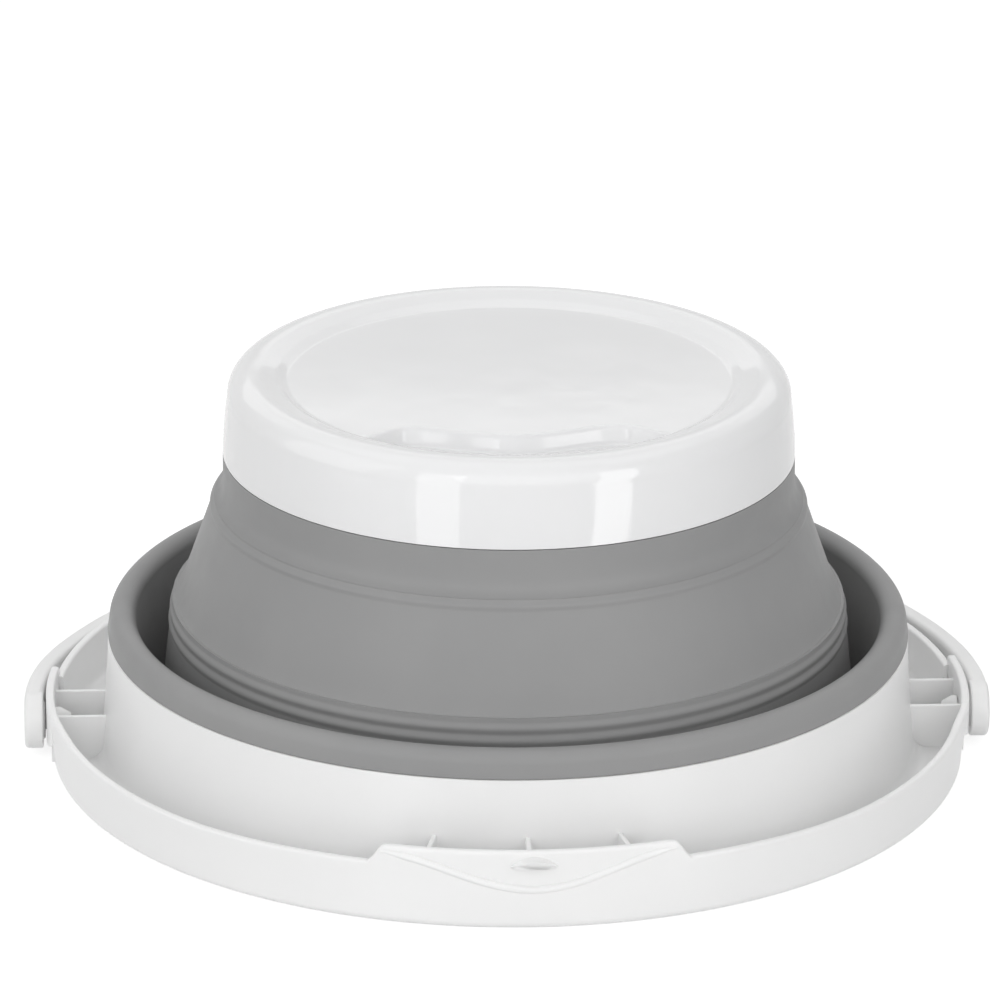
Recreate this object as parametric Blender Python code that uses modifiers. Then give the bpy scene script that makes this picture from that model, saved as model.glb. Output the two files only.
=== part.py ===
"""Collapsible washbasin with a bail handle, turned over onto its rim and half folded.

The basin is a rigid rim with a deep skirt, a soft wall that folds in two steps, a rigid base and
a bail handle that snaps into two ears of the rim. Lengths are in metres and +Z is up. The origin
lies on the basin's axis, in the plane of the rim face that the basin stands on. The front tab
looks along -Y, the handle's pivots lie on the line through the ears, parallel to X, and the
handle is folded back along +Y.

Radii are worked out from the skirt inwards, and heights from the rim face upwards, so a change of
one size carries the pieces beyond it along.
"""

import math

import bmesh
import bpy
from mathutils import Matrix, Vector

# Fits and facets
MOULD_GAP = 0.0003
PIVOT_CLEARANCE = 0.0003
TURN_STEPS = 48
PIVOT_STEPS = 20

# Rim: skirt and rim face
SKIRT_RADIUS = 0.1370
SKIRT_HEIGHT = 0.0176
SKIRT_TAPER = 0.0004
SKIRT_WALL = 0.0025
SKIRT_EDGE_ROUND = 0.0008
SKIRT_RISE = 0.0011
SKIRT_RISE_START = 48.0
RIM_ROUND = 0.0025
RIM_PLATE = 0.0023
CHANNEL_WIDTH = 0.0115
CHANNEL_FILLET = 0.0020

# Rim: neck, the wall that carries the soft part
NECK_HEIGHT = 0.0387
NECK_TAPER = 0.0029
NECK_WALL = 0.0024
MOUTH_ROUND = 0.0040
LAP_HEIGHT = 0.0031
LAP_TONGUE = 0.0009

# Rim: tabs at the front and back
TAB_HEIGHT = 0.0240
TAB_ANGLE = 17.6
TAB_STEP_ANGLE = 2.3
TAB_PANEL_WALL = 0.0025
TAB_RECESS = 0.0005
TAB_STEPS = 20
TAB_BEAD_ROUND = 0.0011
TAB_BEAD_PROUD = 0.0008
TAB_BEAD_LOW = 0.0125
TAB_BEAD_HIGH = 0.0222
GUSSET_HEIGHT = 0.0215
GUSSET_WALL = 0.0015
GUSSET_ANGLE = 12.7
LUG_HALF_WIDTH = 0.0056
LUG_ARCH = 0.0018
LUG_TOP = 0.0222
LUG_BAR = 0.0019
LUG_REACH = 0.0032

# Rim: ears that hold the handle
EAR_HEIGHT = 0.0200
EAR_PROUD = 0.0015
EAR_WALL = 0.0025
EAR_HALF_WIDTH = 0.0197
EAR_SOLE = 0.0047
EAR_RIB_SPACING = 0.0204
EAR_RIB_WALL = 0.0016
EAR_RIB_HEIGHT = 0.0158
PIVOT_HEIGHT = 0.0104

# Soft wall: outer fold
SOFT_WALL = 0.0022
CREST_RISE = 0.0039
CREST_ROUND = 0.0040
CREST_LEAN = 0.0005
OUTER_WEB_STEP = 0.0045
VALLEY_LIFT = 0.0068
VALLEY_ROUND = 0.0032

# Soft wall: middle ring
MIDDLE_HEIGHT = 0.03975
MIDDLE_TAPER = 0.0044
RIDGE_ROUND = 0.0016
RIDGE_PROUND = 0.0008
RIDGE_PITCH = 0.0037
RIDGE_DROP = 0.0031

# Soft wall: inner fold and cuff
INNER_WEB_WALL = 0.0020
INNER_WEB_HEIGHT = 0.0315
INNER_WEB_STEP = 0.0110
INNER_WEB_SEAM = 0.0017
INNER_FLARE = 0.0008
CUFF_HEIGHT = 0.01435
CUFF_TAPER = 0.0027

# Base
BASE_WALL = 0.0024
BASE_HEIGHT = 0.0244
BASE_TAPER = 0.0023
FOOT_ROUND = 0.0070
FOOT_FLAT = 0.0026
FOOT_SLOPE = 0.0052
FOOT_DROP = 0.0014
PANEL_SINK = 0.0030
PANEL_FILLET = 0.0015

# Finger grip pressed into the base
GRIP_DEPTH = 0.0050
GRIP_WALL = 0.0020
GRIP_ROUND = 0.0012
GRIP_HALF_WIDTH = 0.0457
GRIP_BUMP = 0.0310
GRIP_WAVE = 0.0080
GRIP_MARGIN = 0.0004
GRIP_STEPS = 10

# Bail handle
ARM_WALL = 0.0050
ARM_END_RADIUS = 0.0084
ARM_FLARE_LENGTH = 0.0700
ARM_EDGE_ROUND = 0.0014
BAIL_HEIGHT = 0.0125
BAIL_WALL = 0.0052
BAIL_CLEARANCE = 0.0017
BAIL_EDGE_ROUND = 0.0016
BAIL_FLOOR_GAP = 0.0028
BAIL_POINTS = 30
BOSS_LENGTH = 0.0012
BOSS_RADIUS = 0.0056
PIN_RADIUS = 0.0028
BARB_RADIUS = 0.0039
BARB_LENGTH = 0.0046
BARB_RIM = 0.0014
BARB_TIP_RADIUS = 0.0020
SNAP_SLOT = 0.0012
SNAP_SLOT_DEPTH = 0.0060

# Radii and heights that follow from the sizes above
NECK_FOOT_RADIUS = SKIRT_RADIUS - SKIRT_TAPER - SKIRT_WALL - CHANNEL_WIDTH
NECK_TOP_RADIUS = NECK_FOOT_RADIUS - NECK_TAPER
CREST_RADIUS = NECK_TOP_RADIUS - CREST_LEAN - CREST_ROUND
CREST_FOLD = NECK_HEIGHT + CREST_RISE
CREST_INNER = CREST_ROUND - SOFT_WALL
VALLEY_FOLD = VALLEY_LIFT + VALLEY_ROUND
VALLEY_INNER = VALLEY_ROUND - SOFT_WALL
VALLEY_RADIUS = CREST_RADIUS - CREST_INNER - OUTER_WEB_STEP - VALLEY_INNER - SOFT_WALL
RING_FOLD = VALLEY_FOLD + MIDDLE_HEIGHT
MIDDLE_FOOT_RADIUS = VALLEY_RADIUS - VALLEY_INNER
MIDDLE_TOP_RADIUS = MIDDLE_FOOT_RADIUS - MIDDLE_TAPER
CUFF_FOLD = RING_FOLD + INNER_WEB_HEIGHT
INNER_WEB_LOW = MIDDLE_TOP_RADIUS - INNER_WEB_SEAM
INNER_WEB_HIGH = INNER_WEB_LOW - INNER_WEB_STEP
BASE_EDGE = CUFF_FOLD + CUFF_HEIGHT
BASE_RADIUS = INNER_WEB_HIGH - CUFF_TAPER
FOOT_HEIGHT = BASE_EDGE + BASE_HEIGHT
FOOT_SHOULDER = FOOT_HEIGHT - FOOT_ROUND
FOOT_RADIUS = BASE_RADIUS - BASE_TAPER - FOOT_ROUND
PANEL_HEIGHT = FOOT_HEIGHT - PANEL_SINK
PANEL_RADIUS = FOOT_RADIUS - FOOT_FLAT - FOOT_SLOPE - PANEL_FILLET
EAR_RADIUS = SKIRT_RADIUS + EAR_PROUD
ARM_INNER = EAR_RADIUS + MOULD_GAP + BOSS_LENGTH
ARM_OUTER = ARM_INNER + ARM_WALL
BAIL_INNER_REACH = SKIRT_RADIUS + BAIL_CLEARANCE
BAIL_OUTER_REACH = BAIL_INNER_REACH + BAIL_WALL
BAIL_TILT = math.asin((PIVOT_HEIGHT - BAIL_HEIGHT / 2 - BAIL_FLOOR_GAP) / BAIL_OUTER_REACH)

MATERIALS = {
    "rim_white": ((0.86, 0.86, 0.85, 1.0), 0.34),
    "base_white": ((0.88, 0.88, 0.88, 1.0), 0.14),
    "handle_white": ((0.84, 0.84, 0.83, 1.0), 0.38),
    "soft_grey": ((0.33, 0.33, 0.33, 1.0), 0.62),
}


def clear_scene():
    """Remove every object that the scene starts with."""
    for item in list(bpy.data.objects):
        bpy.data.objects.remove(item, do_unlink=True)


def make_collection(name):
    """Add a collection to the scene."""
    collection = bpy.data.collections.new(name)
    bpy.context.scene.collection.children.link(collection)
    return collection


def make_material(name, finish):
    """Principled material of one colour and roughness, named for the piece that wears it."""
    colour, roughness = MATERIALS[finish]
    material = bpy.data.materials.new(name)
    material.use_nodes = True
    shader = material.node_tree.nodes["Principled BSDF"]
    shader.inputs["Base Color"].default_value = colour
    shader.inputs["Roughness"].default_value = roughness
    shader.inputs["Metallic"].default_value = 0.0
    material.diffuse_color = colour
    return material


def new_object(name, data, collection):
    """Object at the origin that carries the given mesh or curve."""
    item = bpy.data.objects.new(name, data)
    collection.objects.link(item)
    return item


def move_to(item, collection):
    """Take an object out of its collections and link it to another."""
    for owner in list(item.users_collection):
        owner.objects.unlink(item)
    collection.objects.link(item)
    return item


def as_cutter(item):
    """Mark an object as a shape that only cuts or joins another."""
    item.hide_render = True
    item.display_type = "WIRE"
    return item


def bake(item, weld=0.00001):
    """Replace an object by the mesh that it evaluates to, placed in world space."""
    bpy.context.view_layer.update()
    graph = bpy.context.evaluated_depsgraph_get()
    mesh = bpy.data.meshes.new_from_object(item.evaluated_get(graph))
    mesh.transform(item.matrix_world)
    shape = bmesh.new()
    shape.from_mesh(mesh)
    bmesh.ops.remove_doubles(shape, verts=shape.verts, dist=weld)
    bmesh.ops.recalc_face_normals(shape, faces=shape.faces)
    shape.to_mesh(mesh)
    shape.free()
    collection = item.users_collection[0]
    name = item.name
    bpy.data.objects.remove(item, do_unlink=True)
    return new_object(name, mesh, collection)


def combine(target, other, operation):
    """Cut, join or intersect a mesh with another that is kept as a hidden cutter."""
    modifier = target.modifiers.new(f"{operation.lower()} {other.name}", "BOOLEAN")
    modifier.operation = operation
    modifier.solver = "EXACT"
    modifier.object = as_cutter(other)
    return target


def mirror(item, across_x=False, across_y=False):
    """Repeat a shape on the other side of the basin's axis."""
    modifier = item.modifiers.new("opposite side", "MIRROR")
    modifier.use_axis = (across_x, across_y, False)
    modifier.merge_threshold = 0.00001
    return item


def finish_piece(item, finish):
    """Give a piece its final mesh, its material and smooth round faces."""
    item = bake(item)
    item.data.materials.clear()
    item.data.materials.append(make_material(f"{item.name}_{finish}", finish))
    item.data.shade_smooth()
    item.data.set_sharp_from_angle(angle=math.radians(35))
    return item


def arc(radius, height, size, start, end, count):
    """Points on an arc in the plane of radius and height; angles in degrees."""
    points = []
    for i in range(count + 1):
        angle = math.radians(start + (end - start) * i / count)
        points.append((radius + size * math.cos(angle), height + size * math.sin(angle)))
    return points


def turned(name, outline, collection, closed=True):
    """Solid of revolution about Z from an outline of (radius, height) points."""
    mesh = bpy.data.meshes.new(name)
    vertices = [(radius, 0.0, height) for radius, height in outline]
    count = len(vertices)
    edges = [(i, (i + 1) % count) for i in range(count if closed else count - 1)]
    mesh.from_pydata(vertices, edges, [])
    item = new_object(name, mesh, collection)
    screw = item.modifiers.new("turn", "SCREW")
    screw.axis = "Z"
    screw.angle = math.tau
    screw.steps = TURN_STEPS
    screw.render_steps = TURN_STEPS
    screw.use_merge_vertices = True
    screw.merge_threshold = 0.00001
    screw.use_normal_calculate = False
    return item


def arc_block(name, section, start, end, steps, collection, lift=None):
    """Closed section of (radius, height) points swept round Z between two angles in degrees.

    Points of the section above the skirt's edge can be moved up or down by lift(angle).
    """
    shape = bmesh.new()
    corners = [shape.verts.new((radius, 0.0, height)) for radius, height in section]
    face = shape.faces.new(corners)
    bmesh.ops.rotate(
        shape, verts=shape.verts, cent=(0, 0, 0), matrix=Matrix.Rotation(math.radians(start), 3, "Z")
    )
    bmesh.ops.spin(
        shape,
        geom=[*shape.verts, *shape.edges, face],
        cent=(0, 0, 0),
        axis=(0, 0, 1),
        angle=math.radians(end - start),
        steps=steps,
        use_duplicate=False,
    )
    if lift is not None:
        for vertex in shape.verts:
            vertex.co.z += lift(math.degrees(math.atan2(vertex.co.y, vertex.co.x)), vertex.co.z)
    bmesh.ops.recalc_face_normals(shape, faces=shape.faces)
    mesh = bpy.data.meshes.new(name)
    shape.to_mesh(mesh)
    shape.free()
    return new_object(name, mesh, collection)


def plate(name, outline, thickness, collection, edge_round=0.0):
    """Flat outline in the local XY plane, centred on it, with optional rounded edges."""
    curve = bpy.data.curves.new(name, "CURVE")
    curve.dimensions = "2D"
    curve.fill_mode = "BOTH"
    curve.extrude = thickness / 2 - edge_round
    curve.bevel_depth = edge_round
    curve.bevel_resolution = 1
    curve.offset = -edge_round
    spline = curve.splines.new("POLY")
    spline.points.add(len(outline) - 1)
    for point, (x, y) in zip(spline.points, outline):
        point.co = (x, y, 0.0, 1.0)
    spline.use_cyclic_u = True
    return new_object(name, curve, collection)


def stand_plate(item, direction, offset):
    """Stand a plate up: its X runs along a horizontal direction, its Y becomes the height."""
    outward = Vector((math.cos(direction), math.sin(direction), 0.0))
    upward = Vector((0.0, 0.0, 1.0))
    item.matrix_world = Matrix.Translation(offset) @ Matrix(
        (outward, upward, outward.cross(upward))
    ).transposed().to_4x4()
    return item


def skirt_outer(height):
    """Outer radius of the skirt at a height."""
    return SKIRT_RADIUS - SKIRT_TAPER * (1.0 - height / SKIRT_HEIGHT)


def neck_outer(height):
    """Radius of the neck's outer side at a height."""
    return NECK_FOOT_RADIUS - NECK_TAPER * height / NECK_HEIGHT


def neck_inner(height):
    """Radius of the neck's inner side at a height."""
    return neck_outer(height) - NECK_WALL


def smooth_step(t):
    """Ease from 0 to 1."""
    t = min(max(t, 0.0), 1.0)
    return t * t * (3.0 - 2.0 * t)


def rim_outline():
    """Section of the rim: skirt, rim face, mouth, neck with its lap tongue, and channel."""
    edge = SKIRT_EDGE_ROUND
    top_outer = skirt_outer(SKIRT_HEIGHT)
    foot_outer = skirt_outer(0.0)
    foot_inner = foot_outer - SKIRT_WALL
    tongue_top = NECK_HEIGHT + LAP_HEIGHT
    fillet_height = RIM_PLATE + CHANNEL_FILLET
    fillet = CHANNEL_FILLET
    outline = arc(top_outer - SKIRT_WALL + edge, SKIRT_HEIGHT - edge, edge, 180, 90, 2)
    outline += arc(top_outer - edge, SKIRT_HEIGHT - edge, edge, 90, 0, 2)
    outline += arc(foot_outer - RIM_ROUND, RIM_ROUND, RIM_ROUND, 0, -90, 3)
    outline += arc(neck_inner(MOUTH_ROUND) + MOUTH_ROUND, MOUTH_ROUND, MOUTH_ROUND, -90, -180, 3)
    outline.append((neck_inner(tongue_top), tongue_top))
    outline.append((neck_inner(tongue_top) + LAP_TONGUE, tongue_top))
    outline.append((neck_inner(NECK_HEIGHT) + LAP_TONGUE, NECK_HEIGHT))
    outline.append((neck_outer(NECK_HEIGHT), NECK_HEIGHT))
    outline += arc(neck_outer(fillet_height) + fillet, fillet_height, fillet, 180, 270, 2)
    outline += arc(foot_inner - fillet, fillet_height, fillet, 270, 360, 2)
    return outline


def tab_rise(angle, height):
    """How far the top of a tab panel stands above the skirt's edge, by angle from its middle."""
    if height < SKIRT_HEIGHT - 2 * SKIRT_EDGE_ROUND:
        return 0.0
    away = abs(abs(angle) - 90.0)
    along = smooth_step((TAB_ANGLE + TAB_STEP_ANGLE - away) / TAB_STEP_ANGLE)
    return along * (TAB_HEIGHT - SKIRT_HEIGHT + SKIRT_EDGE_ROUND) - SKIRT_EDGE_ROUND


def bead_height(angle):
    """Height of the bead that hangs between the top corners of a tab, by angle from its middle."""
    swing = 0.5 * (1.0 - math.cos(math.pi * angle / (TAB_ANGLE + TAB_STEP_ANGLE / 2)))
    return TAB_BEAD_LOW + (TAB_BEAD_HIGH - TAB_BEAD_LOW) * swing


def tab_panel(collection):
    """Upright panel of a tab: part of the skirt's wall that rises in two soft steps."""
    edge = SKIRT_EDGE_ROUND
    outer = SKIRT_RADIUS - TAB_RECESS
    inner = outer - TAB_PANEL_WALL
    section = arc(inner + edge, SKIRT_HEIGHT - edge, edge, 180, 90, 2)
    section += arc(outer - edge, SKIRT_HEIGHT - edge, edge, 90, 0, 2)
    section += [(outer - edge / 2, RIM_PLATE), (inner + edge / 2, RIM_PLATE)]
    reach = TAB_ANGLE + TAB_STEP_ANGLE
    panel = arc_block(
        "tab_panel", section, -90 - reach, -90 + reach, TAB_STEPS, collection, lift=tab_rise
    )
    return mirror(panel, across_y=True)


def tab_recess(collection):
    """Cutter that sinks the lens between a tab's bead and its top edge."""
    low = TAB_BEAD_LOW
    high = TAB_HEIGHT + SKIRT_HEIGHT
    inner = SKIRT_RADIUS - 2 * TAB_RECESS
    outer = SKIRT_RADIUS + 2 * EAR_PROUD
    section = [(inner, high), (outer, high), (outer, low), (inner, low)]

    def follow_bead(angle, height):
        return bead_height(abs(angle + 90.0)) - low if height < (low + high) / 2 else 0.0

    recess = arc_block(
        "tab_recess", section, -90 - TAB_ANGLE, -90 + TAB_ANGLE, TAB_STEPS, collection, follow_bead
    )
    return mirror(recess, across_y=True)


def tab_bead(collection):
    """Round bead that hangs like a garland across the face of a tab."""
    curve = bpy.data.curves.new("tab_bead", "CURVE")
    curve.dimensions = "3D"
    curve.bevel_depth = TAB_BEAD_ROUND
    curve.bevel_resolution = 1
    curve.use_fill_caps = True
    spline = curve.splines.new("POLY")
    spline.points.add(TAB_STEPS)
    radius = SKIRT_RADIUS + TAB_BEAD_PROUD - TAB_BEAD_ROUND
    for i, point in enumerate(spline.points):
        angle = TAB_ANGLE * (2.0 * i / TAB_STEPS - 1.0)
        turn = math.radians(angle - 90.0)
        place = (radius * math.cos(turn), radius * math.sin(turn), bead_height(abs(angle)))
        point.co = (*place, 1.0)
    return mirror(bake(new_object("tab_bead", curve, collection)), across_y=True)


def tab_lug(collection):
    """Arched lug in the middle of a tab, under which the handle comes to rest."""
    bend = (LUG_HALF_WIDTH**2 + LUG_ARCH**2) / (2 * LUG_ARCH)
    swing = math.degrees(math.asin(LUG_HALF_WIDTH / bend))
    centre = LUG_TOP - LUG_BAR / 2 - bend
    half = LUG_BAR / 2
    right = arc(0.0, centre, bend, 90 - swing, 90 - swing, 1)[0]
    left = arc(0.0, centre, bend, 90 + swing, 90 + swing, 1)[0]
    outline = arc(0.0, centre, bend + half, 90 - swing, 90 + swing, 8)
    outline += arc(left[0], left[1], half, 90 + swing, 270 + swing, 4)[1:-1]
    outline += arc(0.0, centre, bend - half, 90 + swing, 90 - swing, 8)
    outline += arc(right[0], right[1], half, 270 - swing, 450 - swing, 4)[1:-1]
    root = SKIRT_RADIUS - TAB_RECESS - TAB_PANEL_WALL / 2
    reach = SKIRT_RADIUS + LUG_REACH
    lug = plate("tab_lug", outline, reach - root, collection, edge_round=LUG_BAR / 4)
    stand_plate(lug, 0.0, Vector((0.0, -(root + reach) / 2, 0.0)))
    return mirror(bake(lug), across_y=True)


def gusset(name, angle, collection):
    """Radial web behind a tab, from the neck to the tab's panel."""
    sink = NECK_WALL / 2
    outer = SKIRT_RADIUS - TAB_RECESS - TAB_PANEL_WALL / 2
    low = RIM_PLATE / 2
    outline = [
        (neck_outer(low) - sink, low),
        (outer, low),
        (outer, GUSSET_HEIGHT),
        (neck_outer(GUSSET_HEIGHT) - sink, GUSSET_HEIGHT),
    ]
    web = plate(name, outline, GUSSET_WALL, collection)
    stand_plate(web, math.radians(angle - 90.0), Vector((0.0, 0.0, 0.0)))
    return mirror(bake(web), across_y=True)


def ear_rib(collection):
    """Rib beside each pivot, from the neck to the ear, parallel to the pivot's axis."""
    side = EAR_RIB_SPACING / 2
    sink = NECK_WALL / 2
    low = RIM_PLATE / 2
    outer = math.sqrt((EAR_RADIUS - EAR_WALL / 2) ** 2 - side**2)
    outline = [
        (math.sqrt((neck_outer(low) - sink) ** 2 - side**2), low),
        (outer, low),
        (outer, EAR_RIB_HEIGHT),
        (math.sqrt((neck_outer(EAR_RIB_HEIGHT) - sink) ** 2 - side**2), EAR_RIB_HEIGHT),
    ]
    rib = plate("ear_rib", outline, EAR_RIB_WALL, collection)
    stand_plate(rib, 0.0, Vector((0.0, side, 0.0)))
    return mirror(bake(rib), across_x=True, across_y=True)


def ear_outline(half, depth):
    """Front view of an ear: straight sides and a round sole that reaches a depth below the pivot."""
    size = (half**2 + depth**2) / (2 * depth)
    swing = math.degrees(math.asin(half / size))
    centre = PIVOT_HEIGHT - depth + size
    top = EAR_HEIGHT + SKIRT_HEIGHT
    return [(half, top), (-half, top), *arc(0.0, centre, size, 270 - swing, 270 + swing, 8)]


def ear_block(name, inner, outer, top, half, depth, collection):
    """Curved block between two radii, cut to an ear's outline."""
    edge = SKIRT_EDGE_ROUND
    section = arc(inner + edge, top - edge, edge, 180, 90, 2)
    section += arc(outer - edge, top - edge, edge, 90, 0, 2)
    section += [(outer, 0.0), (inner, 0.0)]
    spread = 1.4 * math.degrees(EAR_HALF_WIDTH / EAR_RADIUS)
    block = arc_block(name, section, -spread, spread, 8, collection)
    form = plate(f"{name}_form", ear_outline(half, depth), 2 * (outer - inner), collection)
    stand_plate(form, math.pi / 2, Vector(((inner + outer) / 2, 0.0, 0.0)))
    combine(block, bake(form), "INTERSECT")
    return mirror(bake(block), across_x=True)


def raise_edge(item):
    """Let the skirt's upper edge rise gently towards both tabs."""
    span = SKIRT_RISE_START - TAB_ANGLE - TAB_STEP_ANGLE
    for vertex in item.data.vertices:
        x, y, z = vertex.co
        on_skirt = math.hypot(x, y) > NECK_FOOT_RADIUS + CHANNEL_WIDTH / 2
        if on_skirt and z > SKIRT_HEIGHT - 2 * SKIRT_EDGE_ROUND:
            away = 90.0 - math.degrees(math.atan2(abs(y), abs(x)))
            vertex.co.z += SKIRT_RISE * smooth_step((SKIRT_RISE_START - away) / span)
    return item


def build_rim(pieces, cutters):
    """Rim: turned blank with ears for the handle and a tab at the front and at the back."""
    rim = raise_edge(bake(turned("rim_frame", rim_outline(), pieces)))
    pocket_outer = EAR_RADIUS - EAR_WALL + MOULD_GAP
    pocket_inner = neck_outer(RIM_PLATE) + CHANNEL_FILLET
    pocket_half = EAR_HALF_WIDTH - EAR_WALL
    pocket_depth = BARB_RADIUS + PIVOT_CLEARANCE
    high = EAR_HEIGHT + SKIRT_HEIGHT
    pocket = ear_block(
        "ear_pocket", pocket_inner, pocket_outer, high, pocket_half, pocket_depth, cutters
    )
    combine(rim, pocket, "DIFFERENCE")
    ear_inner = EAR_RADIUS - EAR_WALL
    ear_depth = PIVOT_HEIGHT - EAR_SOLE
    ear = ear_block("ear_wall", ear_inner, EAR_RADIUS, EAR_HEIGHT, EAR_HALF_WIDTH, ear_depth, cutters)
    combine(rim, ear, "UNION")
    combine(rim, tab_recess(cutters), "DIFFERENCE")
    combine(rim, tab_panel(cutters), "UNION")
    combine(rim, ear_rib(cutters), "UNION")
    for number, angle in enumerate((-GUSSET_ANGLE, 0.0, GUSSET_ANGLE), start=1):
        combine(rim, gusset(f"gusset_{number}", angle, cutters), "UNION")
    combine(rim, tab_bead(cutters), "UNION")
    combine(rim, tab_lug(cutters), "UNION")
    bpy.ops.mesh.primitive_cylinder_add(
        vertices=PIVOT_STEPS,
        radius=PIN_RADIUS + PIVOT_CLEARANCE,
        depth=4 * EAR_WALL,
        location=(EAR_RADIUS - EAR_WALL / 2, 0.0, PIVOT_HEIGHT),
        rotation=(0.0, math.pi / 2, 0.0),
    )
    hole = move_to(bpy.context.object, cutters)
    hole.name = "pivot_hole"
    combine(rim, mirror(bake(hole), across_x=True), "DIFFERENCE")
    return finish_piece(rim, "rim_white")


def build_outer_band(pieces):
    """Soft band that grips the neck's tongue and turns over in a round crest."""
    lap_low = NECK_HEIGHT + MOULD_GAP
    lap_high = NECK_HEIGHT + LAP_HEIGHT + MOULD_GAP
    lap_radius = neck_inner(NECK_HEIGHT) + LAP_TONGUE + MOULD_GAP
    outline = [(neck_outer(NECK_HEIGHT), lap_low)]
    outline.append((lap_radius, lap_low))
    outline.append((lap_radius, lap_high))
    outline.append((neck_inner(lap_high), lap_high))
    outline += arc(CREST_RADIUS, CREST_FOLD, CREST_INNER, 0, 180, 3)
    outline += arc(CREST_RADIUS, CREST_FOLD, CREST_ROUND, 180, 0, 5)
    return finish_piece(turned("outer_band", outline, pieces), "soft_grey")


def build_outer_web(pieces):
    """Soft web of the outer fold, from the crest down to the valley."""
    high = CREST_FOLD - MOULD_GAP
    low = VALLEY_FOLD + MOULD_GAP
    high_radius = CREST_RADIUS - CREST_INNER
    low_radius = VALLEY_RADIUS + VALLEY_ROUND
    outline = [
        (high_radius, high),
        (low_radius, low),
        (low_radius - SOFT_WALL, low),
        (high_radius - SOFT_WALL, high),
    ]
    return finish_piece(turned("outer_web", outline, pieces), "soft_grey")


def middle_outer(height):
    """Radius of the middle wall's outer side at a height."""
    return MIDDLE_FOOT_RADIUS - MIDDLE_TAPER * (height - VALLEY_FOLD) / MIDDLE_HEIGHT


def ridge(height):
    """Half-round ridge on the middle wall's outer side, from its top down."""
    reach = math.degrees(math.acos(1.0 - RIDGE_PROUND / RIDGE_ROUND))
    centre = middle_outer(height) + RIDGE_PROUND - RIDGE_ROUND
    return arc(centre, height, RIDGE_ROUND, reach, -reach, 3)


def build_middle_ring(pieces):
    """Soft middle wall: a round valley at its foot and two ridges at its top."""
    upper = RING_FOLD - RIDGE_DROP
    outline = [(middle_outer(RING_FOLD), RING_FOLD)]
    outline += ridge(upper)
    outline += ridge(upper - RIDGE_PITCH)
    outline += arc(VALLEY_RADIUS, VALLEY_FOLD, VALLEY_INNER, 180, 360, 3)
    outline += arc(VALLEY_RADIUS, VALLEY_FOLD, VALLEY_ROUND, 360, 180, 5)
    outline.append((middle_outer(RING_FOLD) - SOFT_WALL, RING_FOLD))
    return finish_piece(turned("middle_ring", outline, pieces), "soft_grey")


def inner_web_radius(t):
    """Outer radius of the inner web, a cone that flares at its foot; t runs from 0 up to 1."""
    return INNER_WEB_LOW - INNER_WEB_STEP * t + INNER_FLARE * math.exp(-12.0 * t)


def build_inner_web(pieces):
    """Soft web of the inner fold, from the ridged ring up to the cuff."""
    low = RING_FOLD + MOULD_GAP
    high = CUFF_FOLD - MOULD_GAP
    stops = (0.0, 0.10, 0.30, 0.65, 1.0)
    outer = [(inner_web_radius(t), low + (high - low) * t) for t in stops]
    inner = [(radius - INNER_WEB_WALL, height) for radius, height in outer]
    return finish_piece(turned("inner_web", outer[::-1] + inner, pieces), "soft_grey")


def cuff_outer(t):
    """Outer radius of the cuff; t runs from 0 at the base down to 1 at the inner web."""
    return BASE_RADIUS + CUFF_TAPER * t**3


def build_cuff(pieces):
    """Soft cuff that grips the tongue of the base."""
    low = CUFF_FOLD
    high = BASE_EDGE - MOULD_GAP
    lap_low = BASE_EDGE - LAP_HEIGHT - MOULD_GAP
    lap_radius = BASE_RADIUS - BASE_WALL + LAP_TONGUE + MOULD_GAP
    outline = [(cuff_outer(t), high + (low - high) * t) for t in (0.0, 0.4, 0.65, 0.85, 1.0)]
    outline += [
        (INNER_WEB_HIGH - SOFT_WALL, low),
        (BASE_RADIUS - BASE_WALL, lap_low),
        (lap_radius, lap_low),
        (lap_radius, high),
    ]
    return finish_piece(turned("base_cuff", outline, pieces), "soft_grey")


def base_outer(height):
    """Outer radius of the base's wall at a height above its edge."""
    return BASE_RADIUS - BASE_TAPER * (height / (BASE_HEIGHT - FOOT_ROUND)) ** 1.6


def base_outline():
    """Half section of the base: panel, foot ring, wall, lap tongue and the inside back."""
    wall_height = BASE_HEIGHT - FOOT_ROUND
    ring_inner = FOOT_RADIUS - FOOT_FLAT
    slope_foot = ring_inner - FOOT_SLOPE
    slope_height = FOOT_HEIGHT - FOOT_DROP
    stations = [wall_height * 0.6]
    outline = [(0.0, PANEL_HEIGHT), (PANEL_RADIUS, PANEL_HEIGHT)]
    outline += [(slope_foot, slope_height), (ring_inner, FOOT_HEIGHT)]
    outline += arc(FOOT_RADIUS, FOOT_SHOULDER, FOOT_ROUND, 90, 0, 5)
    outline += [(base_outer(station), BASE_EDGE + station) for station in stations]
    outline.append((BASE_RADIUS, BASE_EDGE))
    outline.append((BASE_RADIUS - BASE_WALL + LAP_TONGUE, BASE_EDGE))
    outline.append((BASE_RADIUS - BASE_WALL + LAP_TONGUE, BASE_EDGE - LAP_HEIGHT))
    outline.append((BASE_RADIUS - BASE_WALL, BASE_EDGE - LAP_HEIGHT))
    outline.append((BASE_RADIUS - BASE_WALL, BASE_EDGE))
    for station in reversed(stations):
        outline.append((base_outer(station) - BASE_WALL, BASE_EDGE + station))
    outline += arc(FOOT_RADIUS, FOOT_SHOULDER, FOOT_ROUND - BASE_WALL, 0, 90, 3)
    outline += [(ring_inner, FOOT_HEIGHT - BASE_WALL), (slope_foot, slope_height - BASE_WALL)]
    outline += [(PANEL_RADIUS, PANEL_HEIGHT - BASE_WALL), (0.0, PANEL_HEIGHT - BASE_WALL)]
    return outline


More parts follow.
